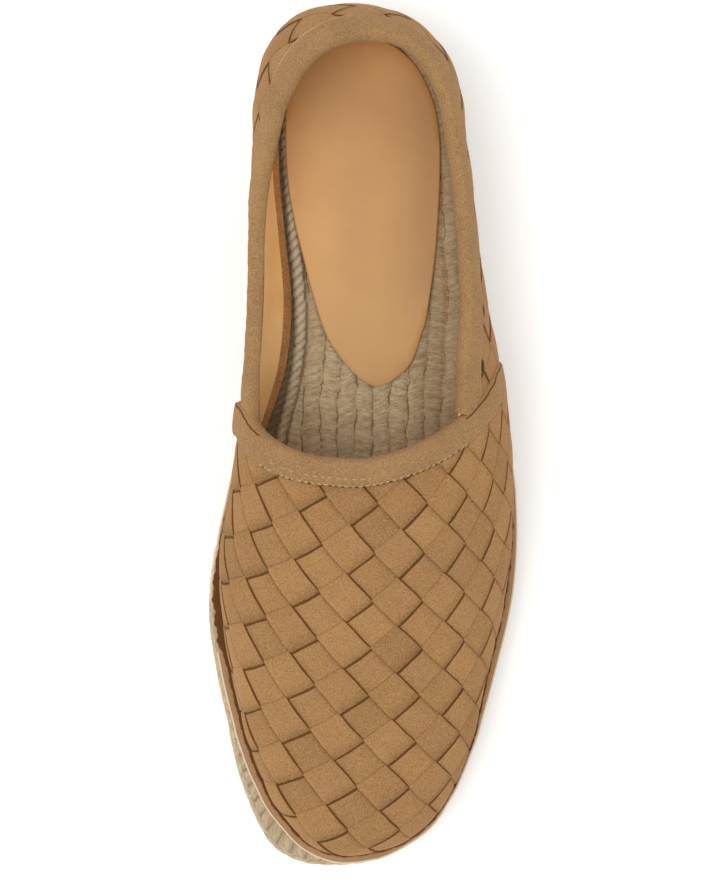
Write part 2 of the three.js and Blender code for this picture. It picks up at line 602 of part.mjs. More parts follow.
const suede = () => new THREE.MeshStandardMaterial({ color: 0xa37850, roughness: 0.95, metalness: 0 });
const jute = () => new THREE.MeshStandardMaterial({ color: 0xd3c5a4, roughness: 0.95, metalness: 0 });
const leather = () => new THREE.MeshStandardMaterial({ color: 0xc59566, roughness: 0.6, metalness: 0 });

// The origin is under the middle of the shoe's box.
const pieces = [sole, hem, upper, band, binding, sock].map((solid) => solid.boundingBox());
const middle = [0, 1].map((k) => (Math.min(...pieces.map((b) => b.min[k]))
  + Math.max(...pieces.map((b) => b.max[k]))) / 2);

const group = new THREE.Group();
group.name = "espadrille";
function node(name, solid, material) {
  const mesh = solid.translate([-middle[0], -middle[1], 0]).getMesh();
  const n = mesh.numProp;
  const count3 = mesh.vertProperties.length / n;
  const positions = new Float32Array(count3 * 3);
  for (let i = 0; i < count3; i++) {
    for (let k = 0; k < 3; k++) positions[3 * i + k] = mesh.vertProperties[n * i + k];
  }
  const geometry = new THREE.BufferGeometry();
  geometry.setAttribute("position", new THREE.BufferAttribute(positions, 3));
  geometry.setIndex(Array.from(mesh.triVerts));
  geometry.computeVertexNormals();
  const result = new THREE.Mesh(geometry, material);
  result.name = name;
  group.add(result);
}
node("jute_sole", sole, jute());
node("hem_rand", hem, suede());
node("upper", upper, suede());
node("throat_band", band, suede());
node("collar_binding", binding, suede());
node("insole", sock, leather());

export default group;
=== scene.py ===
import math

import bmesh
import bpy
import numpy as np
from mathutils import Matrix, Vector


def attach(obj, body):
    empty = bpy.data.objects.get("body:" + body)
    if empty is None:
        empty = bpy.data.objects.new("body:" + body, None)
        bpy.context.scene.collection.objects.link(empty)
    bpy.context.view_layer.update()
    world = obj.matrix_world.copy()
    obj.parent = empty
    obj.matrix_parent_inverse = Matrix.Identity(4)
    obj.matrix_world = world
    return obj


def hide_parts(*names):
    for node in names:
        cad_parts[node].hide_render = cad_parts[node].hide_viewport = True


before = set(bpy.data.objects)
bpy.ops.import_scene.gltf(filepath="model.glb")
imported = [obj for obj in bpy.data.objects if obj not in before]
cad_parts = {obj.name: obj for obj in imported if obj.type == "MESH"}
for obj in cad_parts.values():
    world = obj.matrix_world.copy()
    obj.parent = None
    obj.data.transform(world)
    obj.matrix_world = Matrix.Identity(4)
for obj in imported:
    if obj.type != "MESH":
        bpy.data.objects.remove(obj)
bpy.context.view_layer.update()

scene = bpy.context.scene
rng = np.random.default_rng(7)

# All shape sizes below are in millimetres; toe to -Y, inner side to -X, as in the frame.
last = dict(toeY=-98, heelY=104, fanArc=38, gap=0.5)
# Half sections of the last. A row of the sides has its y, the x of the spine and the height of the
# ridge, and then for the inner and for the outer side: reach of the foot line, reach and height of
# the widest place, reach of the rope, fullness over the widest place. A row of a fan has its angle,
# the height of the ridge and the same five.
sectionColumns = "ridge foot belly high rope full".split()
sides = [
    (104, -3, 80, 28, 34.3, 42, 32, 1.95, 33, 35.8, 42, 36.5, 2.15),
    (85, -2, 78, 28.5, 35.8, 49, 32.5, 2.15, 34.5, 37.6, 40, 37.5, 2.2),
    (65, -1, 78, 27.5, 37.0, 55, 31, 2.3, 35.5, 38.8, 38, 38.5, 2.15),
    (45, 0, 78, 26.5, 38.4, 57, 29.8, 2.4, 37, 40.8, 37, 41.8, 2.05),
    (25, 0, 76.5, 28, 39.4, 54, 31.5, 2.4, 41, 45.0, 35, 45.7, 1.85),
    (10, -1, 73.5, 31.5, 39.8, 46, 35, 2.3, 45, 48.2, 33, 49.2, 1.9),
    (-5, -3, 69.5, 35.2, 39.2, 39, 37.6, 2.3, 48.5, 51.7, 31, 53.2, 1.92),
    (-20, -5, 65, 37.2, 39.2, 34, 39.3, 2.3, 51.5, 54.6, 30, 57.0, 1.92),
    (-40, -8, 59, 37.9, 39.8, 30, 41.8, 2.3, 54.8, 57.1, 29, 60.2, 1.9),
    (-60, -9, 53.5, 36.1, 38.1, 28.5, 42.4, 2.3, 53.0, 55.2, 28, 58.9, 1.9),
    (-80, -9, 48.5, 32.9, 34.9, 27.5, 39.7, 2.3, 48.4, 50.4, 27, 53.9, 1.95),
    (-98, -9, 44.5, 28.8, 30.6, 27.5, 35.7, 2.3, 44.8, 46.6, 26.5, 49.0, 2.0),
]
innerSide = [row[:8] for row in sides]
outerSide = [row[:3] + row[8:] for row in sides]
toeFan = [
    (0, 44.5, 28.8, 30.6, 27.5, 35.7, 2.3),
    (15, 44.5, 27.5, 29.2, 27.5, 35.2, 2.3),
    (35, 44.5, 28.2, 29.8, 27.6, 37.1, 2.3),
    (50, 44.5, 30.6, 32.3, 27.8, 40.8, 2.35),
    (62, 44.5, 32.9, 34.7, 28, 44.8, 2.4),
    (75, 44.5, 36.7, 38.6, 28.4, 46.3, 2.45),
    (90, 44.5, 39.7, 41.6, 28.6, 46.0, 2.45),
    (105, 44.5, 40.6, 42.5, 28.6, 46.3, 2.4),
    (120, 44.5, 41.9, 43.8, 28.2, 46.4, 2.3),
    (135, 44.5, 42.1, 44.0, 27.6, 46.6, 2.2),
    (150, 44.5, 41.9, 43.8, 27, 45.6, 2.1),
    (165, 44.5, 42.4, 44.2, 26.7, 46.1, 2.05),
    (180, 44.5, 44.8, 46.6, 26.5, 49.0, 2.0),
]
heelFan = [
    (0, 80, 28, 34.3, 42, 32, 1.95),
    (20, 80.5, 29.4, 35.2, 41, 33, 1.85),
    (40, 81.5, 33, 38.5, 40, 36.5, 1.8),
    (60, 82, 35.6, 40.5, 39, 39.3, 1.9),
    (90, 82, 36, 39.0, 38, 40.7, 2.3),
    (120, 82, 34.9, 38.7, 38, 38.8, 2.4),
    (140, 81.5, 34, 37.8, 39, 37.4, 2.25),
    (160, 80.5, 33, 36.4, 41, 36.6, 2.15),
    (180, 80, 33, 35.8, 42, 36.5, 2.15),
]
# y, height of the rim, height of the underside
soleHeights = [
    (145, 25.2, 1.6), (136, 25.0, 0), (104, 24.3, 0), (62, 22.4, 0), (40, 20.9, 1.3),
    (18, 19.4, 1.3), (-6, 18.2, 0), (-40, 17.6, 0), (-74, 17.8, 0), (-100, 18.6, 1.1),
    (-122, 19.8, 3.1), (-145, 21.6, 6.0),
]
# distance round from the heel and height of the collar
collarEdge = [
    (172, 53.5), (154, 55.5), (136, 57.2), (116, 58), (90, 59), (60, 63), (36, 68), (12, 71.5),
    (0, 72), (-12, 71.5), (-36, 67.5), (-60, 62.5), (-90, 58.5), (-116, 59.5), (-136, 62),
    (-154, 61.5), (-172, 60),
]
# edges seen from above
throatPlan = [
    (-40.6, 8.9), (-37.8, 3.2), (-33.8, -1.1), (-26.1, -5.6), (-18.8, -7.8), (-10.0, -8.9),
    (-1.4, -9.2), (7.4, -7.4), (14.9, -4.8), (22.6, -1.1), (29.7, 3.5), (35.7, 9.1), (40.6, 15.7),
    (44.0, 21.8),
]
throatFoot = dict(inner=11.5, outer=25.5)
sockPlan = [
    (-14.5, 130.5), (-21.2, 123.5), (-25.0, 113), (-26.0, 101), (-25.2, 85), (-23, 72), (-19.5, 58),
    (-17.2, 49), (-12.8, 35.3), (-8.2, 27.4), (-2.5, 20.9), (2.5, 17.3), (7.0, 17.2), (12.2, 20.3),
    (16.6, 25.2), (19.6, 34), (21.6, 41), (24.1, 58.3), (25.2, 72.6), (25.9, 90), (25.5, 101),
    (23.4, 112), (17.8, 123.5), (9.5, 130.8), (-2, 133.6),
]


def readTable(rows, column, at):
    # smooth curve through one column of a table
    keys, values = np.array([(r[0], r[column]) for r in sorted(rows)], float).T
    n = len(keys)
    after = np.minimum(np.arange(n) + 1, n - 1)
    before = np.maximum(np.arange(n) - 1, 0)
    slope = (values[after] - values[before]) / (keys[after] - keys[before])
    t = np.clip(at, keys[0], keys[-1])
    i = np.clip(np.searchsorted(keys, t, side="right") - 1, 0, n - 2)
    span = keys[i + 1] - keys[i]
    f = (t - keys[i]) / span
    return ((2 * f**3 - 3 * f**2 + 1) * values[i] + (f**3 - 2 * f**2 + f) * span * slope[i]
            + (3 * f**2 - 2 * f**3) * values[i + 1] + (f**3 - f**2) * span * slope[i + 1])


def rimAt(y):
    return readTable(soleHeights, 1, y)


def underAt(y):
    return np.maximum(0, readTable(soleHeights, 2, y))


def spineAt(y):
    return float(readTable(innerSide, 1, np.array([y]))[0])


def stations(region, at):
    # upright half-sections: region 0 inner side, 1 outer side, 2 toe fan, 3 heel fan
    region = np.asarray(region)
    at = np.asarray(at, float)
    s = {k: np.zeros(len(at)) for k in ["cx", "cy", "nx", "ny"] + sectionColumns}
    for r, rows in enumerate((innerSide, outerSide, toeFan, heelFan)):
        m = region == r
        if not m.any():
            continue
        for k, key in enumerate(sectionColumns):
            s[key][m] = readTable(rows, k - len(sectionColumns), at[m])
        if r < 2:
            s["cx"][m] = readTable(rows, 1, at[m])
            s["cy"][m] = at[m]
            s["nx"][m] = -1 if r == 0 else 1
        else:
            cy = last["toeY"] if r == 2 else last["heelY"]
            a = np.radians(at[m])
            s["cx"][m] = spineAt(cy)
            s["cy"][m] = cy
            s["nx"][m] = -np.cos(a)
            s["ny"][m] = np.sin(a) * (-1 if r == 2 else 1)
    return s


def outAt(s, reach):
    # x and y of the points at a reach out from the spine
    return s["cx"] + s["nx"] * reach, s["cy"] + s["ny"] * reach


def sectionCurves(s):
    # reach and height up each half-section, from the foot line to the ridge, with its length
    low = rimAt(outAt(s, s["foot"])[1]) + last["gap"]
    f = np.linspace(0, 1, 15)[None, :]
    a = (np.arange(1, 31) / 30 * math.pi / 2)[None, :]
    foot, belly, high = (s[k][:, None] for k in ("foot", "belly", "high"))
    power = 2 / s["full"][:, None]
    lower = foot + (belly - foot) * (1 - (1 - f) ** 2)
    reach = np.concatenate([lower, belly * np.clip(np.cos(a), 0, 1) ** power], 1)
    reach[:, -1] = 0
    upper = high + (s["ridge"][:, None] - high) * np.sin(a) ** power
    height = np.concatenate([low[:, None] + (high - low[:, None]) * f, upper], 1)
    steps = np.hypot(np.diff(reach, axis=1), np.diff(height, axis=1))
    length = np.concatenate([np.zeros((len(steps), 1)), np.cumsum(steps, 1)], 1)
    return reach, height, length


def placeOn(s, w, fromRidge=False):
    reach, height, length = sectionCurves(s)
    whole = length[:, -1]
    t = np.clip(whole - w if fromRidge else w, 0, whole)
    i = np.clip((length <= t[:, None]).sum(1) - 1, 0, length.shape[1] - 2)
    n = np.arange(len(i))
    f = (t - length[n, i]) / (length[n, i + 1] - length[n, i])
    r, z = (v[n, i] + (v[n, i + 1] - v[n, i]) * f for v in (reach, height))
    return np.stack([*outAt(s, r), z], 1)


def vampPoint(p):
    # flat pattern of the vamp: x across from the ridge, y along the shoe, a fan round the toe
    x, y = p[:, 0], p[:, 1]
    toe = y < last["toeY"]
    region = np.where(toe, 2, np.where(x < 0, 0, 1))
    angle = np.degrees(np.arctan2(last["toeY"] - y, -x))
    out = np.hypot(x, y - last["toeY"])
    s = stations(region, np.where(toe, angle, y))
    return placeOn(s, np.where(toe, out, np.abs(x)), True)


def quarterStations(x):
    arc = last["fanArc"] * math.pi / 2
    heel = np.abs(x) <= arc
    region = np.where(heel, 3, np.where(x > 0, 0, 1))
    y = last["heelY"] - (np.abs(x) - arc)
    return stations(region, np.where(heel, 90 - x / arc * 90, y))


def quarterPoint(p):
    # flat pattern of the quarter: x round the heel, plus to the inner side, y up the wall
    return placeOn(quarterStations(p[:, 0]), p[:, 1])


def collarAt(x):
    # distance up the wall to the quarter's top edge
    x = np.atleast_1d(np.asarray(x, float))
    height = readTable(collarEdge, 1, x)
    _, z, length = sectionCurves(quarterStations(x))
    return np.array([np.interp(h, zz, ll) for h, zz, ll in zip(height, z, length)])


def lastOver(p, point):
    # lays flat points on the last: their z becomes the distance out from its surface
    p = np.asarray(p, float)
    e = 0.4
    at = point(p)
    dx = point(p + [e, 0, 0]) - point(p - [e, 0, 0])
    dy = point(p + [0, e, 0]) - point(p - [0, e, 0])
    n = np.cross(dx, dy)
    n /= np.maximum(np.linalg.norm(n, axis=1), 1e-9)[:, None]
    return at + n * p[:, 2:3]


def runAlong(line):
    return np.concatenate([[0], np.cumsum(np.linalg.norm(np.diff(line, axis=0), axis=1))])


def smoothRows(rows, step, closed=False):
    # even points along a smooth curve through the rows
    rows = np.asarray(rows, float)
    n = len(rows)
    if closed:
        rows = np.concatenate([rows[-1:], rows, rows[:2]])
    else:
        rows = np.concatenate([2 * rows[:1] - rows[1:2], rows, 2 * rows[-1:] - rows[-2:-1]])
    out = []
    for i in range(n if closed else n - 1):
        a, b, c, d = rows[i:i + 4]
        for f in np.linspace(0, 1, 12, endpoint=False):
            out.append(0.5 * (2 * b + (c - a) * f + (2 * a - 5 * b + 4 * c - d) * f * f
                              + (3 * b - a - 3 * c + d) * f**3))
    out.append(out[0] if closed else rows[-2])
    out = np.array(out)
    run = runAlong(out)
    count = max(2, int(round(run[-1] / step)))
    at = np.linspace(0, run[-1], count + 1)
    return np.stack([np.interp(at, run, out[:, k]) for k in range(out.shape[1])], 1)


def acrossAt(x, y):
    # vamp pattern x of a point of the instep seen from above
    cx = spineAt(y)
    s = stations(np.array([0 if x < cx else 1]), np.array([y]))
    reach, height, length = (v[0] for v in sectionCurves(s))
    top = height >= s["high"][0] - 1e-6
    r = np.interp(abs(x - cx), reach[top][::-1], (length[-1] - length[top])[::-1])
    return math.copysign(r, x - cx)


def footPart(region, at):
    # the vamp pattern's foot line along one region of the last
    s = stations(np.full(len(at), region), at)
    whole = sectionCurves(s)[2][:, -1]
    return np.stack([s["nx"] * whole, s["cy"] + s["ny"] * whole], 1)


footLine = np.concatenate([footPart(0, np.linspace(throatFoot["inner"], last["toeY"], 40)),
                           footPart(2, np.linspace(0, 180, 60)),
                           footPart(1, np.linspace(last["toeY"], throatFoot["outer"], 44))])
throatRows = [(acrossAt(x, y), y) for x, y in throatPlan]
throatLine = smoothRows([footLine[0]] + throatRows + [footLine[-1]], 1.2)


def besideLine(line, d):
    # the line moved sideways, towards the toe for a positive distance
    t = np.gradient(line, axis=0)
    t /= np.linalg.norm(t, axis=1)[:, None]
    return line + np.stack([t[:, 1], -t[:, 0]], 1) * np.reshape(d, (-1, 1))


fanCentre = np.array([0.0, -60.0])


def reachTable(outline):
    # distance from the pattern's centre to its outline, by direction
    d = outline - fanCentre
    a = np.arctan2(d[:, 1], d[:, 0])
    order = np.argsort(a)
    return a[order], np.hypot(d[:, 0], d[:, 1])[order]


def pullInside(p, table):
    # keeps points inside the outline and brings the weave closer to the wall at the outline
    d = p[:, :2] - fanCentre
    r = np.hypot(d[:, 0], d[:, 1])
    limit = np.interp(np.arctan2(d[:, 1], d[:, 0]), *table, period=2 * math.pi)
    scale = np.minimum(1, limit / np.maximum(r, 1e-9))
    q = p.copy()
    q[:, :2] = fanCentre + d * scale[:, None]
    q[:, 2] -= 0.75 * np.clip((22 - limit + r) / 8, 0, 1) * (d[:, 1] < 50)
    return q, r > limit


def perimeter(step):
    # stations round the shoe, evenly spaced along the rope's edge, with the run along it
    parts = ((0, last["heelY"], last["toeY"], 300), (2, 0, 180, 200),
             (1, last["toeY"], last["heelY"], 300), (3, 180, 0, 200))
    region = np.repeat([r for r, a, b, n in parts], [n - 1 for r, a, b, n in parts])
    spans = [np.linspace(a, b, n) for r, a, b, n in parts]
    start = np.concatenate([v[:-1] for v in spans])
    stop = np.concatenate([v[1:] for v in spans])
    s = stations(region, start)
    p = np.stack(outAt(s, s["rope"]), 1)
    between = np.linalg.norm(np.roll(p, -1, axis=0) - p, axis=1)
    run = np.concatenate([[0], np.cumsum(between)])
    count = int(run[-1] / step)
    at = np.arange(count) / count * run[-1]
    k = np.clip(np.searchsorted(run, at, side="right") - 1, 0, len(region) - 1)
    f = (at - run[k]) / between[k]
    return stations(region[k], start[k] + (stop[k] - start[k]) * f), at, run[-1]


around, ropeRun, ropeWhole = perimeter(0.8)
ropeX, ropeY = outAt(around, around["rope"])
# middle of the sole's box, taken off so that the shoe stands over the origin
last["middle"] = ((ropeX.min() + ropeX.max()) / 2, (ropeY.min() + ropeY.max()) / 2)
print("last ready")


def addMesh(name, points, faces, materials, faceMaterial=None, uv=None, values=None, sharp=35):
    # points in millimetres; uv and values are per point
    points = np.asarray(points, float) - [last["middle"][0], last["middle"][1], 0]
    mesh = bpy.data.meshes.new(name)
    mesh.from_pydata((points / 1000).tolist(), [], [tuple(int(i) for i in f) for f in faces])
    for m in materials:
        mesh.materials.append(m)
    if faceMaterial is not None:
        mesh.polygons.foreach_set("material_index", np.asarray(faceMaterial, np.int32))
    corner = np.zeros(len(mesh.loops), np.int32)
    mesh.loops.foreach_get("vertex_index", corner)
    if uv is not None:
        layer = mesh.uv_layers.new(name="UVMap")
        layer.data.foreach_set("uv", np.asarray(uv, np.float32)[corner].ravel())
    for key, v in (values or {}).items():
        layer = mesh.attributes.new(key, "FLOAT", "POINT")
        layer.data.foreach_set("value", np.asarray(v, np.float32))
    mesh.polygons.foreach_set("use_smooth", np.full(len(mesh.polygons), True))
    work = bmesh.new()
    work.from_mesh(mesh)
    bmesh.ops.recalc_face_normals(work, faces=work.faces)
    limit = math.radians(sharp)
    for edge in work.edges:
        if len(edge.link_faces) == 2 and edge.calc_face_angle(0) > limit:
            edge.smooth = False
    work.to_mesh(mesh)
    work.free()
    mesh.update()
    piece = bpy.data.objects.new(name, mesh)
    scene.collection.objects.link(piece)
    return piece


def gridFaces(rows, cols, closeRows=False, closeCols=False, start=0):
    faces = []
    for i in range(rows if closeRows else rows - 1):
        for j in range(cols if closeCols else cols - 1):
            a, b, k = start + i * cols, start + (i + 1) % rows * cols, (j + 1) % cols
            faces.append((a + j, a + k, b + k, b + j))
    return faces


def tubeFaces(rows, cols, start=0):
    # rings closed round, with a cap at both ends
    end = start + (rows - 1) * cols
    return gridFaces(rows, cols, closeCols=True, start=start) + [
        tuple(range(start, start + cols))[::-1], tuple(range(end, end + cols))]


def sweepOnLast(name, line, profile, point, materials, wave, spread, **more):
    # a closed profile, distance beside the line and height off the last, swept along a line
    n, m = len(line), len(profile)
    run = runAlong(line)
    points = np.zeros((n, m, 3))
    for k, (d, h) in enumerate(profile):
        points[:, k, :2] = besideLine(line, np.full(n, d) * (spread if d > 0 else 1))
        points[:, k, 2] = h
    wave(points[:, :, 2], run)
    flat = points.reshape(-1, 3)
    span = np.hypot(*np.diff(np.array(profile), axis=0).T)
    uv = np.stack([np.repeat(run, m), np.tile(np.concatenate([[0], np.cumsum(span)]), n)], 1)
    return addMesh(name, lastOver(flat, point), tubeFaces(n, m), materials, uv=uv, **more)


def linear(rgb):
    c = np.array(rgb, float) / 255
    return tuple(np.where(c <= 0.04045, c / 12.92, ((c + 0.055) / 1.055) ** 2.4)) + (1.0,)


def feed(tree, socket, value):
    # gives a socket a plain value or another node's output
    if hasattr(value, "is_output"):
        tree.links.new(value, socket)
    else:
        socket.default_value = value


def addNode(tree, kind, inputs=None, **settings):
    node = tree.nodes.new("ShaderNode" + kind)
    for key, value in settings.items():
        setattr(node, key, value)
    for key, value in (inputs or {}).items():
        feed(tree, node.inputs[key], value)
    return node


def sums(tree, operation, a, b=0.0):
    return addNode(tree, "Math", {0: a, 1: b}, operation=operation).outputs[0]


def remap(tree, value, low, high, start=0.0, end=1.0):
    return addNode(tree, "MapRange", {"Value": value, "From Min": low, "From Max": high,
                                      "To Min": start, "To Max": end}).outputs["Result"]


def noiseAt(tree, vector, scale, detail, rough):
    return addNode(tree, "TexNoise", {"Vector": vector, "Scale": scale, "Detail": detail,
                                      "Roughness": rough}).outputs["Fac"]


def attributeOf(tree, name):
    return addNode(tree, "Attribute", attribute_name=name).outputs["Fac"]


def mixColour(tree, factor, a, b):
    node = addNode(tree, "Mix", data_type="RGBA")
    for key, value in (("Factor", factor), ("A", a), ("B", b)):
        feed(tree, next(s for s in node.inputs if s.name == key and s.enabled), value)
    return next(s for s in node.outputs if s.enabled)


def scaleColour(tree, colour, scale):
    node = addNode(tree, "VectorMath", {0: colour, "Scale": scale}, operation="SCALE")
    return node.outputs["Vector"]


def newGroup(name, **inputs):
    # a node group: its inputs, by kind of socket, and its outputs, a colour and a height
    group = bpy.data.node_groups.new(name, "ShaderNodeTree")
    for kind, sockets in inputs.items():
        for socket in sockets.split():
            group.interface.new_socket(socket, in_out="INPUT", socket_type="NodeSocket" + kind)
    group.interface.new_socket("Colour", in_out="OUTPUT", socket_type="NodeSocketColor")
    group.interface.new_socket("Height", in_out="OUTPUT", socket_type="NodeSocketFloat")
    inside = group.nodes.new("NodeGroupInput")
    return group, inside.outputs, addNode(group, "TexCoord").outputs["Object"]


def closeGroup(group, colour, height):
    out = group.nodes.new("NodeGroupOutput")
    group.links.new(colour, out.inputs["Colour"])
    group.links.new(height, out.inputs["Height"])
    return group


def makeNapGroup():
    # suede nap: a small grain, a brushed mottle and soft clouds, over the base
    group, given, place = newGroup("suedeNap", Color="Base", Float="Clouds Grain Tone")
    grain = noiseAt(group, place, 3000, 1, 0.5)
    mottle = noiseAt(group, place, 1300, 2, 0.6)
    clouds = noiseAt(group, place, 70, 3, 0.6)
    scale = sums(group, "ADD", given["Tone"], 1.0)
    for noise, key, share in ((grain, "Grain", 1.0), (mottle, "Grain", 0.45), (clouds, "Clouds", 1.0)):
        part = sums(group, "MULTIPLY", sums(group, "SUBTRACT", noise, 0.5), given[key])
        scale = sums(group, "ADD", scale, sums(group, "MULTIPLY", part, share))
    colour = scaleColour(group, given["Base"], scale)
    return closeGroup(group, colour, sums(group, "ADD", grain, mottle))


def makeFibreGroup():
    # jute fibres: light and dark streaks along one direction of a vector given in millimetres, mixed
    # towards a dark colour as painted shade in the hollows
    group, given, _ = newGroup("juteFibres", Vector="Along", Color="Light Dark Deep", Float="Depth")
    streaks = noiseAt(group, given["Along"], 1.5, 4, 0.7)
    patches = noiseAt(group, given["Along"], 0.35, 2, 0.5)
    both = sums(group, "ADD", sums(group, "MULTIPLY", streaks, 0.72),
                sums(group, "MULTIPLY", patches, 0.28))
    colour = mixColour(group, remap(group, both, 0.36, 0.6), given["Dark"], given["Light"])
    return closeGroup(group, mixColour(group, given["Depth"], colour, given["Deep"]), streaks)


def makeLeatherGroup():
    # smooth leather: wide clouds and pores
    group, given, place = newGroup("leatherGrain", Color="Base Worn", Float="Pores Tone")
    pores = addNode(group, "TexVoronoi", {"Vector": place, "Scale": given["Pores"]}).outputs["Distance"]
    share = remap(group, noiseAt(group, place, 38, 4, 0.6), 0.35, 0.62)
    leather = mixColour(group, share, given["Worn"], given["Base"])
    return closeGroup(group, scaleColour(group, leather, sums(group, "ADD", given["Tone"], 1.0)), pores)


napGroup = makeNapGroup()
fibreGroup = makeFibreGroup()
leatherGroup = makeLeatherGroup()


def newMaterial(name, group=None, inputs=None, rough=0.9, shine=0.15, bump=0.3, deep=0.0002):
    # an input given as text is the name of a value kept on the mesh
    m = bpy.data.materials.new(name)
    m.use_nodes = True
    tree = m.node_tree
    tree.nodes.clear()
    shader = addNode(tree, "BsdfPrincipled", {"Roughness": rough, "Specular IOR Level": shine})
    addNode(tree, "OutputMaterial", {"Surface": shader.outputs["BSDF"]})
    effect = None
    if group:
        effect = addNode(tree, "Group", node_tree=group)
        for key, value in inputs.items():
            if isinstance(value, str):
                value = attributeOf(tree, value)
            feed(tree, effect.inputs[key], value)
        feed(tree, shader.inputs["Base Color"], effect.outputs["Colour"])
        height = addNode(tree, "Bump", {"Strength": bump, "Distance": deep,
                                        "Height": effect.outputs["Height"]})
        feed(tree, shader.inputs["Normal"], height.outputs["Normal"])
    return m, tree, shader, effect


def suedeMaterial(name, base, clouds=0.2, grain=0.5, bump=0.3, tone=0.0):
    inputs = {"Base": linear(base), "Clouds": clouds, "Grain": grain, "Tone": tone}
    m, _, shader, _ = newMaterial(name, napGroup, inputs, 0.95, 0.12, bump)
    shader.inputs["Sheen Weight"].default_value = 0.12
    shader.inputs["Sheen Roughness"].default_value = 0.5
    shader.inputs["Sheen Tint"].default_value = linear((220, 190, 150))
    return m


def leatherMaterial(name, base, worn, pores=900.0, bump=0.06, rough=0.55, tone=0.0):
    inputs = {"Base": linear(base), "Worn": linear(worn), "Pores": pores, "Tone": tone}
    return newMaterial(name, leatherGroup, inputs, rough, 0.3, bump)[0]


def juteMaterial(name, light, dark, deep, slant, stretch, bump=0.7):
    # fibres at a slant to the rope; u runs along the rope and v across it, in millimetres
    inputs = {"Light": linear(light), "Dark": linear(dark), "Deep": linear(deep), "Depth": "deep"}
    m, tree, shader, effect = newMaterial(name, fibreGroup, inputs, 0.95, 0.1, bump, 0.0004)
    uv = addNode(tree, "UVMap", uv_map="UVMap").outputs["UV"]
    turned = addNode(tree, "Mapping", {"Vector": uv, "Rotation": (0, 0, slant)}).outputs["Vector"]
    along = addNode(tree, "Mapping", {"Vector": turned, "Scale": stretch}).outputs["Vector"]
    feed(tree, effect.inputs["Along"], along)
    return m, tree, shader, effect


def bedMaterial(name, light, dark, deep, cord):
    # the row number is smooth over the footbed; the gap between rows wavers and closes in places, and
    # is darkened as painted shade
    m, tree, shader, effect = juteMaterial(name, light, dark, deep, 1.5, (0.3, 1.9, 1), 0.4)
    place = addNode(tree, "TexCoord").outputs["Object"]
    waver = sums(tree, "SUBTRACT", noiseAt(tree, place, 130, 3, 0.6), 0.5)
    rows = sums(tree, "ADD", attributeOf(tree, "rows"), sums(tree, "MULTIPLY", waver, 0.6))
    fromMiddle = sums(tree, "ABSOLUTE", sums(tree, "SUBTRACT", sums(tree, "FRACT", rows), 0.5))
    wide = remap(tree, noiseAt(tree, place, 210, 3, 0.7), 0.42, 0.62, 0.004, 0.12)
    gap = remap(tree, sums(tree, "SUBTRACT", 0.5, fromMiddle), wide, 0.0)
    deepest = sums(tree, "MAXIMUM", sums(tree, "MULTIPLY", gap, 0.75), attributeOf(tree, "deep"))
    feed(tree, effect.inputs["Depth"], deepest)
    colour = mixColour(tree, attributeOf(tree, "pale"), effect.outputs["Colour"], linear(cord))
    feed(tree, shader.inputs["Base Color"], colour)
    return m


weaveSuede = suedeMaterial("weaveSuede", (154, 115, 74), grain=1.3, tone="tone")
trimSuede = suedeMaterial("trimSuede", (150, 116, 78), clouds=0.4, grain=1.4, bump=0.4)
hemSuede = suedeMaterial("hemSuede", (160, 122, 88), clouds=0.3, grain=0.6, bump=0.4)
# dark brown of the raw cut edges; the weave and the hem use it partly as painted shadow in the gaps
# beside them, the band as a painted shadow line
cutEdgeAndShadow = suedeMaterial("cutEdgeAndShadow", (100, 64, 33), clouds=0.3)
# pale raw edge of the binding, partly a painted highlight along its outer edge
rawEdgeHighlight = suedeMaterial("rawEdgeHighlight", (200, 160, 116), clouds=0.3)
# dark as painted shade where it shows through the weave's gaps
backingShade = suedeMaterial("wovenBackingShade", (84, 54, 30), grain=0.3)
seamTape = suedeMaterial("seamTape", (178, 130, 80), clouds=0.8, grain=2.2)
# painted light: the lining is made lighter than the leather for the light that falls on the inner walls
litLiningLeather = leatherMaterial("litLiningLeather", (250, 207, 144), (240, 192, 126))
sockLeather = leatherMaterial("sockLeather", (200, 157, 102), (194, 150, 97), pores=1500.0,
                              bump=0.05, rough=0.5, tone="tone")
sockEdge = suedeMaterial("sockEdge", (112, 76, 44), grain=0.3)
sideJute, *_ = juteMaterial("sideJute", (210, 192, 162), (156, 130, 96), (92, 66, 40), 0.8,
                            (0.3, 2.6, 1))
bedJute = bedMaterial("bedJute", (206, 186, 152), (142, 118, 84), (80, 54, 28), (214, 200, 172))
creamThread = suedeMaterial("creamThread", (216, 198, 168), clouds=0.1, grain=0.6)
stitchThread = suedeMaterial("stitchThread", (184, 152, 112), clouds=0.1, grain=0.6)
# painted shade: dark beads stand for the shade inside stitch holes and the gaps beside the binding
holeShade = suedeMaterial("holeShade", (72, 46, 24), clouds=0.1, grain=0.2)
print("materials ready")


weave = dict(
    vamp=dict(x=0.9, y=-29, across=17.7, along=16, leanX=-1.3, leanY=-2.9, skew=-0.33, sway=-0.35,
              narrow=-0.16, gather=-0.1, bow=1.73, spread=0.16, stretch=0.09, droop=-0.09),
    edge=3.4,  # diamonds from the middle, beyond which the strips run on straight
)
# the quarter's weave has none of the vamp's bends
weave["quarter"] = {**dict.fromkeys(weave["vamp"], 0), "y": 14, "across": 19, "along": 15.2}
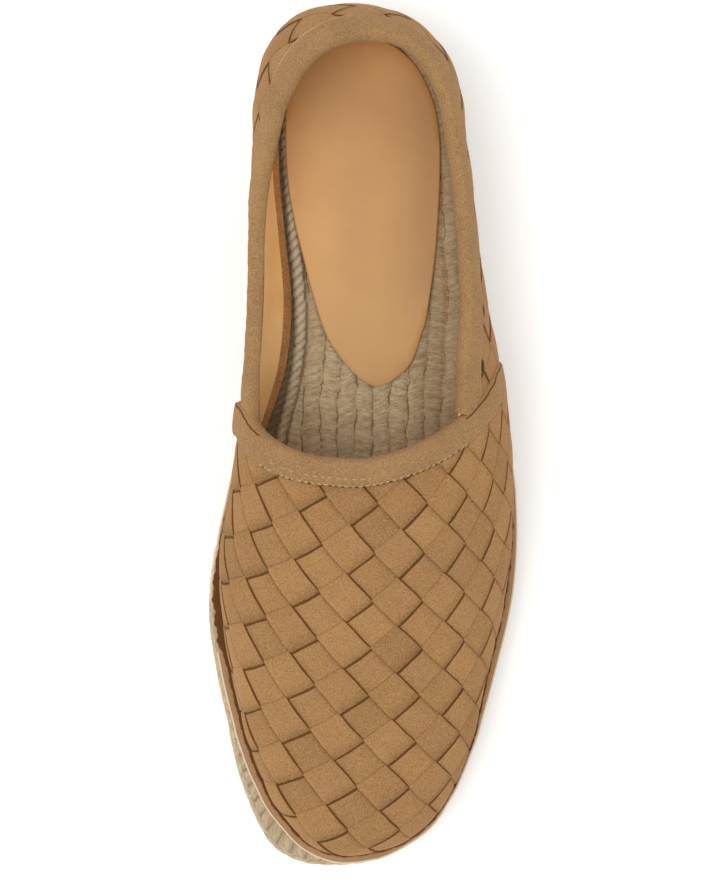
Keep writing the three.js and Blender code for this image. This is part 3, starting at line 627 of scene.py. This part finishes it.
# Profile of a float across its strip and along it, each with the drop from the crest. dark says
# which faces are cut edges, bevel which points are nicked. startShade, endShade and a darker tip
# are painted shade where the float dives under its neighbours, rimLight is a painted highlight
# along one side, and sideLight lightens or darkens the floats towards the outer side of the toe.
smallTile = dict(
    cross=[(0.012, -1.4), (0.018, -0.5), (0.045, -0.22), (0.068, 0.0), (0.2, 0.03), (0.4, 0.04),
           (0.6, 0.04), (0.8, 0.03), (0.925, 0.0), (0.943, -0.3), (0.95, -0.8), (0.95, -1.4)],
    ends=[(-0.06, -0.9), (0.028, -0.42), (0.05, -0.28), (0.085, -0.1), (0.14, -0.03), (0.24, 0),
          (0.5, 0.02), (0.76, 0), (0.87, -0.05), (0.93, -0.16), (0.965, -0.4), (1.05, -0.9)],
    dark=(0, 1, 2, 9, 10, 11), bevel=[2, 1], crest=0.72, tone=-0.02,
    startShade=0.07, endShade=0.05, rimLight=0, sideLight=0.07,
)
bigTile = dict(
    cross=[(-0.03, -1.4), (-0.028, -0.8), (-0.014, -0.25), (0.004, 0.0), (0.12, 0.1), (0.32, 0.17),
           (0.5, 0.2), (0.68, 0.17), (0.86, 0.1), (0.972, 0.0), (0.998, -0.25), (1.024, -0.5),
           (1.03, -1.4)],
    ends=[(-0.1, -0.95), (-0.055, -0.6), (-0.03, -0.42), (0.02, -0.24), (0.1, -0.1),
          (0.25, -0.02), (0.5, 0.02), (0.7, 0), (0.84, -0.1), (0.93, -0.2), (0.99, -0.3),
          (1.005, -0.62), (1.06, -1.0)],
    dark=(9, 10, 11, 12), bevel=[10, 11], crest=0.8, tone=0.012,
    startShade=0.021, endShade=0.15, rimLight=0.1, sideLight=-0.09,
)
# how much the floats differ from one another
handCut = dict(wave=0.008, shift=0.004, nick=0.006, tilt=0.05, lift=0.03, shade=0.036)


def smoothStep(x):
    x = np.clip(x, 0, 1)
    return x * x * (3 - 2 * x)


def crossing(w, u, v):
    # the place in the pattern where line u of one way meets line v of the other
    p, q = (u + v) / 2, (u - v) / 2
    t = np.clip(p, -weave["edge"], weave["edge"])

    def bent(p):
        x = (w["x"] + w["across"] * p + w["leanX"] * q + w["skew"] * p * p + w["sway"] * q * q
             + w["narrow"] * p**3 + w["gather"] * p * p * q)
        y = (w["y"] + w["along"] * q + w["leanY"] * p + w["bow"] * p * p + w["spread"] * p * q
             + w["stretch"] * q * q + w["droop"] * p**3)
        return np.stack([x, y], -1)

    a, b = bent(t), bent(t - 0.001)
    return a + (a - b) * ((p - t) / 0.001)[..., None]


def platesOf(w, wanted):
    # one closed plate for each float: its cross profile over c, swept along t
    points, faces, edges, tones = [], [], [], []
    total = 0
    for i in range(-26, 27):
        for j in range(-26, 27):
            centre = crossing(w, np.array([i + 0.5]), np.array([j + 0.5]))[0]
            if not wanted(centre):
                continue
            small = (i + j) % 2 == 0
            tile = smallTile if small else bigTile
            cross, ends, top = np.array(tile["cross"]), *np.array(tile["ends"]).T
            n, m = len(ends), len(cross)
            wobble = handCut["wave"] * np.sin(ends * rng.uniform(4, 9) + rng.uniform(0, 6))
            wobble += rng.normal(0, handCut["shift"])
            t = np.repeat(ends, m)
            c = cross[None, :, 0] + wobble[:, None]
            c[:, tile["bevel"]] += rng.normal(0, handCut["nick"], (n, 2))
            c = c.ravel()
            tilt = rng.normal(0, handCut["tilt"])
            h = tile["crest"] + np.repeat(top, m) + np.tile(cross[:, 1], n) + tilt * (c - 0.5)
            h += rng.normal(0, handCut["lift"])
            u, v = (i + t, j + c) if small else (i + c, j + t)
            points.append(np.concatenate([crossing(w, u, v), h[:, None]], 1))
            faces += tubeFaces(n, m, total)
            edges += [1 if k % m in tile["dark"] else 0 for k in range((n - 1) * m)] + [1, 1]
            # painted shade towards the ends, where the float dives under its neighbours, and a painted
            # highlight along its rim towards the inner side
            shade = (tile["tone"] + rng.normal(0, handCut["shade"])
                     - tile["endShade"] * smoothStep((t - 0.62) / 0.36)
                     - tile["startShade"] * smoothStep((0.28 - t) / 0.28)
                     - 0.1 * smoothStep((t - 0.86) / 0.1))
            rim = smoothStep((0.07 - c) / 0.05) * smoothStep((40 - centre[0]) / 40)
            side = np.clip(centre[0] / 60, 0, 1) * np.clip(-centre[1] / 60, 0, 1)
            tones.append(shade + tile["rimLight"] * rim + tile["sideLight"] * side)
            total += n * m
    return np.concatenate(points), faces, edges, np.concatenate(tones)


# heights off the last; the quarter's wall lies deeper by the lap
wall = dict(outer=-0.85, inner=-2.1, weaveFoot=-1.3, lap=0.9)
band = dict(width=7.2, inner=7.5, base=0.75, thick=1.15, folds=((-34.6, -0.6), (30.6, 4.2)))
binding = dict(width=7.5, thick=1.4, ends=(-158, 166))

underBand = besideLine(throatLine, band["width"] - 2.2)
vampVisible = reachTable(np.concatenate([footLine, underBand[::-1]]))


def nearVamp(centre):
    d = centre - fanCentre
    limit = np.interp(math.atan2(d[1], d[0]), *vampVisible, period=2 * math.pi)
    return np.hypot(*d) < limit + 9


def nearQuarter(centre):
    return -166 < centre[0] < 174 and -8 < centre[1] < 62


def weavePiece(name, points, outside, faces, edges, tones, point):
    # faces wholly outside the pattern are left out
    keep = [k for k, f in enumerate(faces) if not all(outside[i] for i in f)]
    # the dark cut-edge faces are partly painted shadow in the gaps between the floats
    piece = addMesh(name, lastOver(points, point), [faces[k] for k in keep], [weaveSuede, cutEdgeAndShadow],
                    faceMaterial=[edges[k] for k in keep], values={"tone": tones}, sharp=50)
    print(name, len(piece.data.polygons))
    return piece


points, *plates = platesOf(weave["vamp"], nearVamp)
points, outside = pullInside(points, vampVisible)
points[:, 2] = np.maximum(points[:, 2], wall["weaveFoot"])
vampWeave = weavePiece("vampWeave", points, outside, *plates, vampPoint)

points, *plates = platesOf(weave["quarter"], nearQuarter)
top = collarAt(points[:, 0]) - binding["width"] + 2
outside = (points[:, 1] < 0) | (points[:, 1] > top)
points[:, 1] = np.clip(points[:, 1], 0, top)
points[:, 2] = np.maximum(points[:, 2] - wall["lap"], wall["weaveFoot"] - 0.55)
quarterWeave = weavePiece("quarterWeave", points, outside, *plates, quarterPoint)


def liningPiece(name, flat, sheet, rim, lap, point, taped=()):
    # the dark backing, its colour painted shade where it shows through the weave, and, inside it, the
    # leather, joined round their rim
    count = len(flat)
    both = np.concatenate([np.c_[flat, np.full(count, wall[side] - lap)]
                           for side in ("outer", "inner")])
    faces = sheet + [tuple(count + i for i in f) for f in sheet]
    faces += [(a, b, count + b, count + a) for a, b in zip(rim, rim[1:] + rim[:1])]
    mats = [0] * len(sheet) + [1] * (len(sheet) + len(rim))
    for k in taped:
        mats[len(sheet) + k] = 2
    return addMesh(name, lastOver(both, point), faces,
                   [backingShade, litLiningLeather] + ([seamTape] if taped else []), faceMaterial=mats)


outline = np.concatenate([footLine, throatLine[::-1][1:-1]])
rings = fanCentre + (outline - fanCentre)[None] * (np.linspace(0, 1, 26) ** 0.8)[1:, None, None]
n, m = rings.shape[:2]
flat = np.concatenate([[fanCentre], rings.reshape(-1, 2)])
sheet = gridFaces(n, m, closeCols=True, start=1) + [(0, 1 + k, 1 + (k + 1) % m) for k in range(m)]
vampLining = liningPiece("vampLining", flat, sheet, list(range(len(flat) - m, len(flat))), 0, vampPoint)

# the quarter's sheet: 180 places round the heel, 16 up the wall; a tape lies along its inner foot
xs = np.linspace(172, -172, 180)
topEdge = collarAt(xs)
flat = np.c_[np.repeat(xs, 16), (topEdge[:, None] * np.linspace(0, 1, 16)).ravel()]
grid = np.arange(180 * 16).reshape(180, 16)
rim = [*grid[:, 0], *grid[-1, 1:], *grid[-2::-1, -1], *grid[0, -2:0:-1]]
taped = [k for k in range(179 * 15) if k % 15 < 2 and xs[k // 15] > 20]
quarterLining = liningPiece("quarterLining", flat, gridFaces(180, 16), rim, wall["lap"], quarterPoint,
                            taped)


def foldProfile(width, inWidth, outBase, inBase, thick, lip=1.5):
    # closed profile of a strip folded over an edge: outer leg, rolled top, inner leg
    outer = [(width, outBase), (width - 0.15, outBase + thick * 0.55),
             (width - 0.9, outBase + thick * 0.85)]
    outer += [(d, outBase + thick * (0.95 + 0.12 * math.sin(math.pi * d / width)))
              for d in np.linspace(width - 2, 1.2, 5)]
    middle, half = (outBase + inBase) / 2, (outBase - inBase) / 2 + thick
    roll = [(-lip * math.cos(a), middle + half * math.sin(a)) for a in np.linspace(1.2, -1.2, 9)]
    inner = [(d, inBase - thick * 0.95) for d in np.linspace(1.2, inWidth - 1, 4)]
    return outer + roll + inner + [(inWidth - 0.2, inBase - thick * 0.5), (inWidth, inBase)]


def bandFolds(heights, run):
    # wrinkles, a fuller roll near the inner end and a thinner outer end; near both ends the inner
    # leg is drawn into the wall
    toEnd = run - run[-1]
    knob = np.exp(-((run - 24) / 18) ** 2)[:, None]
    puff = np.clip(heights + 1.2, 0, 3)
    heights -= puff * 0.4 * smoothStep((toEnd + 40) / 24)[:, None]
    ripple = 0.11 * np.sin(run * 0.83) + 0.08 * np.sin(run * 1.9 + 1.0) + 0.06 * np.sin(run * 3.3)
    heights += puff * (0.22 * knob + 0.45 * ripple[:, None])
    tuck = (smoothStep((32 - run) / 4) + smoothStep((toEnd + 42) / 4))[:, None]
    heights += np.where(heights < -1.9, 2.3, 0) * tuck


bandProfile = foldProfile(band["width"], band["inner"], band["base"], -2.3, band["thick"])
throatRun = runAlong(throatLine)
foldFrom, foldTo = [throatRun[np.argmin(np.linalg.norm(throatLine - [acrossAt(x, y), y], axis=1))]
                    for x, y in band["folds"]]
bandEdge = []
for s in throatRun[:-1]:
    # face 0 is the cut edge, face 8 a painted shadow line where the band goes under the binding
    tucked = s < foldFrom or s > foldTo
    bandEdge += [1 if k == 0 or (tucked and k == 8) else 0 for k in range(len(bandProfile))]
throatBand = sweepOnLast("throatBand", throatLine, bandProfile, vampPoint, [trimSuede, cutEdgeAndShadow],
                         wave=bandFolds, spread=1 + 0.5 * np.exp(-(throatRun / 42) ** 2),
                         faceMaterial=bandEdge + [0, 0], sharp=60)

throatLong = throatRun[-1]
# rows of holes and stitches: distance beside the line, height, first and last place along it
seams = dict(
    bandHoles=dict(beside=band["width"] - 0.15, height=1.3, start=throatLong * 0.3,
                   end=throatLong * 0.72, pitch=2.2, size=(1.2, 0.6, 0.5)),
    bandStitches=dict(beside=band["width"] - 0.6, height=1.72, start=throatLong * 0.3 + 1.1,
                      end=throatLong * 0.72, pitch=2.2, size=(1.3, 0.5, 0.4)),
    upperStitches=dict(beside=band["width"] - 2.9, height=1.93, start=throatLong * 0.33,
                       end=throatLong * 0.52, pitch=2.6, size=(1.6, 0.45, 0.4)),
    bindingGaps=dict(beside=binding["width"] + 1, height=0, start=33.5, end=54, pitch=19.5,
                     size=(4.2, 2.6, 0.6)),
)


def beads(name, line, point, material):
    # short thread floats, or dark beads painted as the shade inside holes, laid along a line of the
    # pattern
    seam = seams[name]
    long, wide, high = (v / 2 for v in seam["size"])
    at = besideLine(line, seam["beside"])
    run = runAlong(at)
    slope = np.gradient(at, axis=0)
    slope /= np.linalg.norm(slope, axis=1)[:, None]
    points, faces = [], []
    for k, s in enumerate(np.arange(seam["start"], seam["end"], seam["pitch"])):
        s += rng.normal(0, seam["pitch"] * 0.05)
        centre, ahead = (np.array([np.interp(s, run, v) for v in way.T]) for way in (at, slope))
        turn = rng.normal(0, 0.12)
        ahead = ahead * math.cos(turn) + np.array([-ahead[1], ahead[0]]) * math.sin(turn)
        across = np.array([-ahead[1], ahead[0]])
        for f in (-1, -0.6, 0, 0.6, 1):
            fat = math.sqrt(max(0.06, 1 - f * f))
            for a in np.arange(6) / 6 * 2 * math.pi:
                q = centre + ahead * f * long + across * fat * math.cos(a) * wide
                points.append([*q, seam["height"] + fat * math.sin(a) * high])
        faces += tubeFaces(5, 6, k * 30)
    return addMesh(name, lastOver(np.array(points), point), faces, [material])


bandHoles = beads("bandHoles", throatLine, vampPoint, holeShade)
bandStitches = beads("bandStitches", throatLine, vampPoint, stitchThread)
upperStitches = beads("upperStitches", throatLine, vampPoint, stitchThread)


def bindingFolds(heights, run):
    ripple = 0.1 * np.sin(run * 0.41 + 0.7) + 0.08 * np.sin(run * 1.3) + 0.05 * np.sin(run * 2.9)
    heights += np.clip(heights + 1.0, 0, 2) * 0.5 * ripple[:, None]


def bindingPiece():
    x = collarLine[:, 0]
    line = collarLine[(x > binding["ends"][0]) & (x < binding["ends"][1])]
    profile = foldProfile(binding["width"], binding["width"], -wall["lap"] + 0.35,
                          -wall["lap"] - 2.2, binding["thick"])
    m = len(profile)
    raw = [1 if k % m in (0, 1) else 0 for k in range((len(line) - 1) * m)]
    return sweepOnLast("collarBinding", line, profile, quarterPoint, [trimSuede, rawEdgeHighlight],
                       wave=bindingFolds, spread=1 + 0.3 * np.exp(-(line[:, 0] / 42) ** 2),
                       faceMaterial=raw + [0, 0], sharp=60)


collarLine = np.c_[xs, topEdge][::-1]
collarBinding = bindingPiece()
bindingGaps = beads("bindingGaps", collarLine, quarterPoint, holeShade)
print("trims ready")


rope = dict(rows=3, depth=1.1, twist=5.6, strand=0.5, lowInset=0.35)


def ringPoint(s, reach, z=None, lift=None):
    x, y = outAt(s, reach)
    return np.stack([x, y, z if z is not None else rimAt(y) + lift], 1)


def soleSide():
    rings, deep, v = [], [], []

    def addRing(ring, dark, across):
        rings.append(ring)
        deep.append(np.zeros(len(ring)) + dark)
        v.append(across)

    # underside, from the middle out
    for share in (0.02, 0.35, 0.7):
        r = around["rope"] * share
        addRing(ringPoint(around, r, underAt(outAt(around, r)[1])), 0, 20 * share - 30)
    low, high = underAt(ropeY), rimAt(ropeY)
    phase = ropeRun / ropeWhole * round(ropeWhole / rope["twist"]) * math.pi
    for row in range(rope["rows"]):
        top = row == rope["rows"] - 1
        gaps = smoothStep(np.sin(ropeRun * 0.83 + row * 2) + 0.6 * np.sin(ropeRun * 0.31 + row) - 0.45)
        for k, a in enumerate(np.linspace(-1.25, 1.45 if top else 1.25, 9)):
            twist = np.abs(np.sin(phase + a * 1.2 * (1 if row % 2 else -1) + row * 1.3))
            z = low + (high - low) / rope["rows"] * (row + 0.5 + 0.5 * math.sin(a) / math.sin(1.35))
            inset = rope["depth"] * (1 - math.cos(a)) / (1 - math.cos(1.35))
            inset = inset + (rope["lowInset"] if row == 0 else 0)
            inset = inset + rope["strand"] * (1 - twist) ** 2 * math.cos(a)
            # painted shade between the twisted strands and in the valleys between the rows
            valley = abs(a) > 1.2 and not (top and a > 0)
            dark = np.clip((1 - twist) ** 4 * 0.5 + (0.3 + 0.7 * gaps if valley else 0), 0, 1)
            addRing(ringPoint(around, around["rope"] - inset, np.minimum(z, high)), dark, row * 8 + k)
    # rim and, inside the upper, the ground of the footbed; painted shade darkens the rim between
    # strands and the ground under the upper
    twist = np.abs(np.sin(phase + 1.9))
    for inset, lift in ((1.9, 0.15), (3.2, 0.2)):
        ring = ringPoint(around, around["rope"] - inset, lift=lift - 0.3 * (1 - twist) ** 2)
        addRing(ring, (1 - twist) ** 3 * 0.6, 26 + inset)
    for reach, lift, dark, across in ((around["foot"] - 0.9, 0.1, 0.4, 33),
                                      (around["foot"] - 1.1, -2.6, 0.6, 36),
                                      (around["foot"] * 0.02, -2.6, 0.6, 50)):
        addRing(ringPoint(around, reach, lift=lift), dark, across)
    rings = np.array(rings)
    n, m = rings.shape[:2]
    uv = np.stack([np.tile(ropeRun, n), np.repeat(v, m)], 1)
    faces = gridFaces(n, m, closeCols=True)
    faces += [tuple(range(m)), tuple(range(n * m - 1, n * m - m - 1, -1))]
    return addMesh("ropeSole", rings.reshape(-1, 3), faces, [sideJute], uv=uv,
                   values={"deep": np.concatenate(deep)}, sharp=80)


ropeSole = soleSide()

bed = dict(pitch=5.83, drop=2.1, ridge=1.0, cord=1.7, strand=0.17)
# seen from above: the gap between two rows at the outer side, and the pale cord beside the lining
bedGap = [(-140, 24), (-20, 26.4), (10, 26.8), (45, 28.6), (85, 26.4), (110, 21), (142, 8)]
cordPlan = [(-138, -28), (-60, -30), (-20, -30.5), (2, -27), (14, -23.9), (24, -21.9),
            (34, -20.9), (44, -21.1), (57, -22.1), (70, -23.6), (84, -24.6), (97, -25.6),
            (120, -24), (142, -12)]


def footbedMesh():
    outline = ringPoint(around, around["foot"] - 1.6, lift=0)[::6, :2]
    x, y = np.arange(-46, 52, 0.5), np.arange(-138, 142, 0.9)
    p = np.stack(np.meshgrid(x, y, indexing="ij"), -1).reshape(-1, 2)
    inside = np.zeros(len(p), bool)
    for s0, s1 in zip(outline, np.roll(outline, -1, axis=0)):
        crosses = (s0[1] > p[:, 1]) != (s1[1] > p[:, 1])
        with np.errstate(divide="ignore", invalid="ignore"):
            at = s0[0] + (p[:, 1] - s0[1]) / (s1[1] - s0[1]) * (s1[0] - s0[0])
        inside ^= crosses & (p[:, 0] < at)
    p = p[inside]
    px, py = p.T
    gapX = np.interp(py, *np.array(bedGap).T)
    ripple = 0.22 * np.sin(py * 0.21 + px * 0.35) + 0.14 * np.sin(py * 0.53 + px)
    rows = (gapX - px + ripple) / bed["pitch"]
    share = rows % 1
    ridge = 1 - np.abs(2 * share - 1) ** 2.6
    way = np.where(np.floor(rows) % 2 > 0, 1, -1)
    strands = bed["strand"] * np.sin((py * way + 3.0 * share * bed["pitch"]) * 1.9)
    fromCord = px - np.interp(py, *np.array(cordPlan).T)
    onCord, behind = np.abs(fromCord) < bed["cord"], fromCord < -bed["cord"]
    beside = (fromCord > bed["cord"]) & (fromCord < bed["cord"] + 1.0)
    fat = np.sqrt(np.clip(1 - (fromCord / bed["cord"]) ** 2, 0, 1))
    lay = np.abs(np.sin(py - fromCord * 0.9))
    z = np.where(onCord, 0.3 + fat * (1.5 - 0.5 * (1 - lay) ** 2), (bed["ridge"] + strands) * ridge)
    z = np.where(behind, -0.1 + 0.2 * lay, z)
    # painted shade in the cord's hollows and the groove beside it, the dark strip behind the cord
    # partly its own brown and partly painted shade, and painted shade towards the outer side, where the
    # wall shades the footbed
    deep = np.where(onCord, 0.75 * (1 - lay) ** 3 + 0.5 * (1 - fat) ** 2, 0)
    deep = np.where(behind, 0.62 + 0.2 * (1 - lay), np.where(beside, 0.6, deep))
    deep = np.maximum(deep, 0.28 * smoothStep((px - 10) / 16))
    # the cord's own pale colour, strongest on its strands' crowns as a painted highlight and fading
    # towards the toe as painted shade
    pale = onCord * 0.8 * lay * np.clip((py - 4) / 30, 0.1, 1)
    index = -np.ones(len(inside), int)
    index[inside] = np.arange(inside.sum())
    grid = index.reshape(len(x), len(y))
    corners = np.stack([grid[:-1, :-1], grid[1:, :-1], grid[1:, 1:], grid[:-1, 1:]], -1).reshape(-1, 4)
    uv = np.stack([py + 0.25 * way * (gapX - px), gapX - px], 1)
    rows = np.where(onCord | (fromCord < 0), 0.5, rows)
    return addMesh("footbed", np.c_[p, rimAt(py) - bed["drop"] + z], corners[corners.min(1) >= 0],
                   [bedJute], uv=uv, values={"rows": rows, "deep": deep, "pale": pale}, sharp=180)


footbed = footbedMesh()
print("sole ready")

# the profile goes across the strip, its raw edge from 0 to 1 and its sloping suede from 1 to 2
hem = dict(raw=0.85, reach=2.7, thread=0.42,
           profile=[(0, 0.3), (0, 2.1), (0.2, 2.25), (1, 2.1), (1.05, 1.85), (1.5, 1.7),
                    (1.85, 1.45), (2, 0.9), (2, 0.3)])


def ringMesh(name, rings, materials, **more):
    rings = np.array(rings)
    faces = gridFaces(*rings.shape[:2], closeRows=True, closeCols=True)
    return addMesh(name, rings.reshape(-1, 3), faces, materials, **more)


def hemPieces():
    # the raw edge stands against the wall; the suede slopes from it to a thread on the rope
    reach, _, length = sectionCurves(around)
    inner = np.array([np.interp(2.0, ll, r) for ll, r in zip(length, reach)]) + 0.95
    outer = np.minimum(around["belly"] + hem["reach"], around["rope"] - 0.9)
    outer = np.maximum(inner + 1.2, np.minimum(outer, around["foot"] + 5.2))
    wide = outer - inner
    raw = np.minimum(np.maximum(hem["raw"], around["belly"] + 1.05 - inner), wide - 0.25)
    waist = smoothStep((around["cy"] + 77) / 8) * (around["nx"] < -0.95)
    raw = raw + (wide - 0.15 - raw) * waist
    raw = raw * (1 + 0.12 * np.sin(ropeRun * 0.9) + 0.08 * np.sin(ropeRun * 2.3))
    rings = [ringPoint(around, inner + (raw * min(k, 1) + (wide - raw) * max(0, k - 1)), lift=lift)
             for k, lift in hem["profile"]]
    m = len(ropeRun)
    # the dark raw edge faces are partly painted shadow in the gap against the wall
    strip = ringMesh("hemStrip", rings, [hemSuede, cutEdgeAndShadow], sharp=50,
                     faceMaterial=[1 if i // m < 4 else 0 for i in range(len(rings) * m)])
    shown = smoothStep((wide - 1.6) / 0.9) * (1 - waist)
    fat = hem["thread"] + 0.1 * np.sin(ropeRun * 3.5)
    rings = []
    for a in np.linspace(0, 2 * math.pi, 7)[:-1]:
        lift = 0.55 - 1.4 * (1 - shown) + fat * math.sin(a)
        rings.append(ringPoint(around, outer + 0.4 + 0.4 * math.cos(a), lift=lift))
    return strip, ringMesh("hemThread", rings, [creamThread])


hemStrip, hemThread = hemPieces()

hair = dict(count=300, long=(0.8, 2.6), curl=(0.2, 1.0), rise=(-0.2, 0.4), thick=0.07)


def juteHairs():
    # loose jute hairs at the edge of the rope
    points, faces = [], []
    up = np.array([0, 0, 1])
    for k in range(hair["count"]):
        i = int(rng.integers(len(ropeRun)))
        s = {key: around[key][i:i + 1] for key in around}
        root = ringPoint(s, s["rope"] - 0.4, lift=rng.uniform(-16, -0.5))[0]
        out = np.array([s["nx"][0], s["ny"][0], 0])
        along = np.array([-out[1], out[0], 0]) * rng.choice([-1, 1])
        long, curl, rise = (rng.uniform(*hair[key]) for key in ("long", "curl", "rise"))
        for f in (0, 0.35, 0.7, 1):
            q = root + out * long * f * (1 - 0.35 * f) + along * curl * f * f * 2 + up * rise * f
            for a in (0, 2.1, 4.2):
                points.append(q + (along * math.cos(a) + up * math.sin(a)) * hair["thick"] * (1.1 - f))
        faces += tubeFaces(4, 3, k * 12)
    return addMesh("juteHairs", np.array(points), faces, [creamThread])


looseHairs = juteHairs()

sock = dict(thick=1.4, lift=0.5, rounding=0.35, middle=(0.0, 76.0))


def sockMesh():
    outline = smoothRows(sockPlan, 1.6, closed=True)[:-1]
    centre = np.array(sock["middle"])
    shares = [*np.linspace(0, 1, 14)[1:-1], 0.985, 1.0]
    n, m = len(shares), len(outline)
    heights = [0] * (n - 1) + [-sock["rounding"], -sock["thick"]]
    rings = [np.c_[centre + (outline - centre) * share, np.full(m, h)]
             for share, h in zip(shares + [1.0], heights)]
    points = np.concatenate([[[*centre, 0]], *rings])
    points[:, 2] += rimAt(points[:, 1]) + sock["lift"]
    faces = [(0, 1 + k, 1 + (k + 1) % m) for k in range(m)]
    faces += gridFaces(n + 1, m, closeCols=True, start=1)
    faces.append(tuple(range(n * m + m, n * m, -1)))
    # painted light on the inner side, and painted shade towards the outer side and the heel, where the
    # walls shade the leather
    x, y = points[:, 0], points[:, 1]
    tone = 0.3 * smoothStep((-x - 2) / 24) * smoothStep((128 - y) / 40) * smoothStep((y - 20) / 50)
    tone = tone - 0.28 * smoothStep((x - 4) / 24) * smoothStep((y - 28) / 30)
    tone = tone - 0.1 * smoothStep((y - 75) / 40)
    return addMesh("leatherSock", points, faces, [sockLeather, sockEdge], sharp=40,
                   faceMaterial=[0] * (n * m) + [1] * (m + 1), values={"tone": tone})


leatherSock = sockMesh()

for nodes, slot, pieces in (
        (["upper"], "suede", (vampWeave, quarterWeave)),
        (["upper"], "insole_leather", (vampLining, quarterLining)),
        (["throat_band"], "suede_trim", (throatBand, bandHoles, bandStitches, upperStitches)),
        (["collar_binding"], "suede_trim", (collarBinding, bindingGaps)),
        (["jute_sole"], "jute", (ropeSole, footbed, looseHairs)),
        (["hem_rand"], "suede_trim", (hemStrip,)), (["hem_rand"], "jute", (hemThread,)),
        (["insole"], "insole_leather", (leatherSock,))):
    for piece in pieces:
        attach(piece, "root")
        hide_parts(*nodes)


view = dict(x=-60 - last["middle"][0], y=-1.8 - last["middle"][1], height=1500.0, lens=179.9)
studio = dict(sky=0.95, window=1.05, softness=0.5, lift=math.radians(71), floorGlow=0.1)

floorMaterial, _, shader, _ = newMaterial("paleFloor", rough=1.0, shine=0.0)
shader.inputs["Base Color"].default_value = (0.95, 0.95, 0.95, 1)
shader.inputs["Emission Color"].default_value = (1, 1, 1, 1)
shader.inputs["Emission Strength"].default_value = studio["floorGlow"]
bpy.ops.mesh.primitive_plane_add(size=12, location=(0, 0, -0.0002))
floor = bpy.context.object
floor.name = "floor"
floor.data.materials.append(floorMaterial)

world = bpy.data.worlds.new("studio")
world.use_nodes = True
sky = world.node_tree.nodes["Background"].inputs
sky["Color"].default_value = (1, 1, 1, 1)
sky["Strength"].default_value = studio["sky"]
scene.world = world

window = bpy.data.lights.new("window", "SUN")
window.energy = studio["window"]
window.angle = studio["softness"]
windowLight = bpy.data.objects.new("window", window)
toWindow = Vector((-math.cos(studio["lift"]), -0.12, math.sin(studio["lift"])))
windowLight.rotation_euler = toWindow.to_track_quat("Z", "Y").to_euler()
scene.collection.objects.link(windowLight)

cameraData = bpy.data.cameras.new("camera")
cameraData.lens = view["lens"]
cameraData.sensor_width = 36
camera = bpy.data.objects.new("camera", cameraData)
camera.location = (view["x"] / 1000, view["y"] / 1000, view["height"] / 1000)
camera.rotation_euler = (0, math.atan2(view["x"], view["height"]), 0)
scene.collection.objects.link(camera)
scene.camera = camera
scene.view_settings.view_transform = "Standard"
print("stage ready")
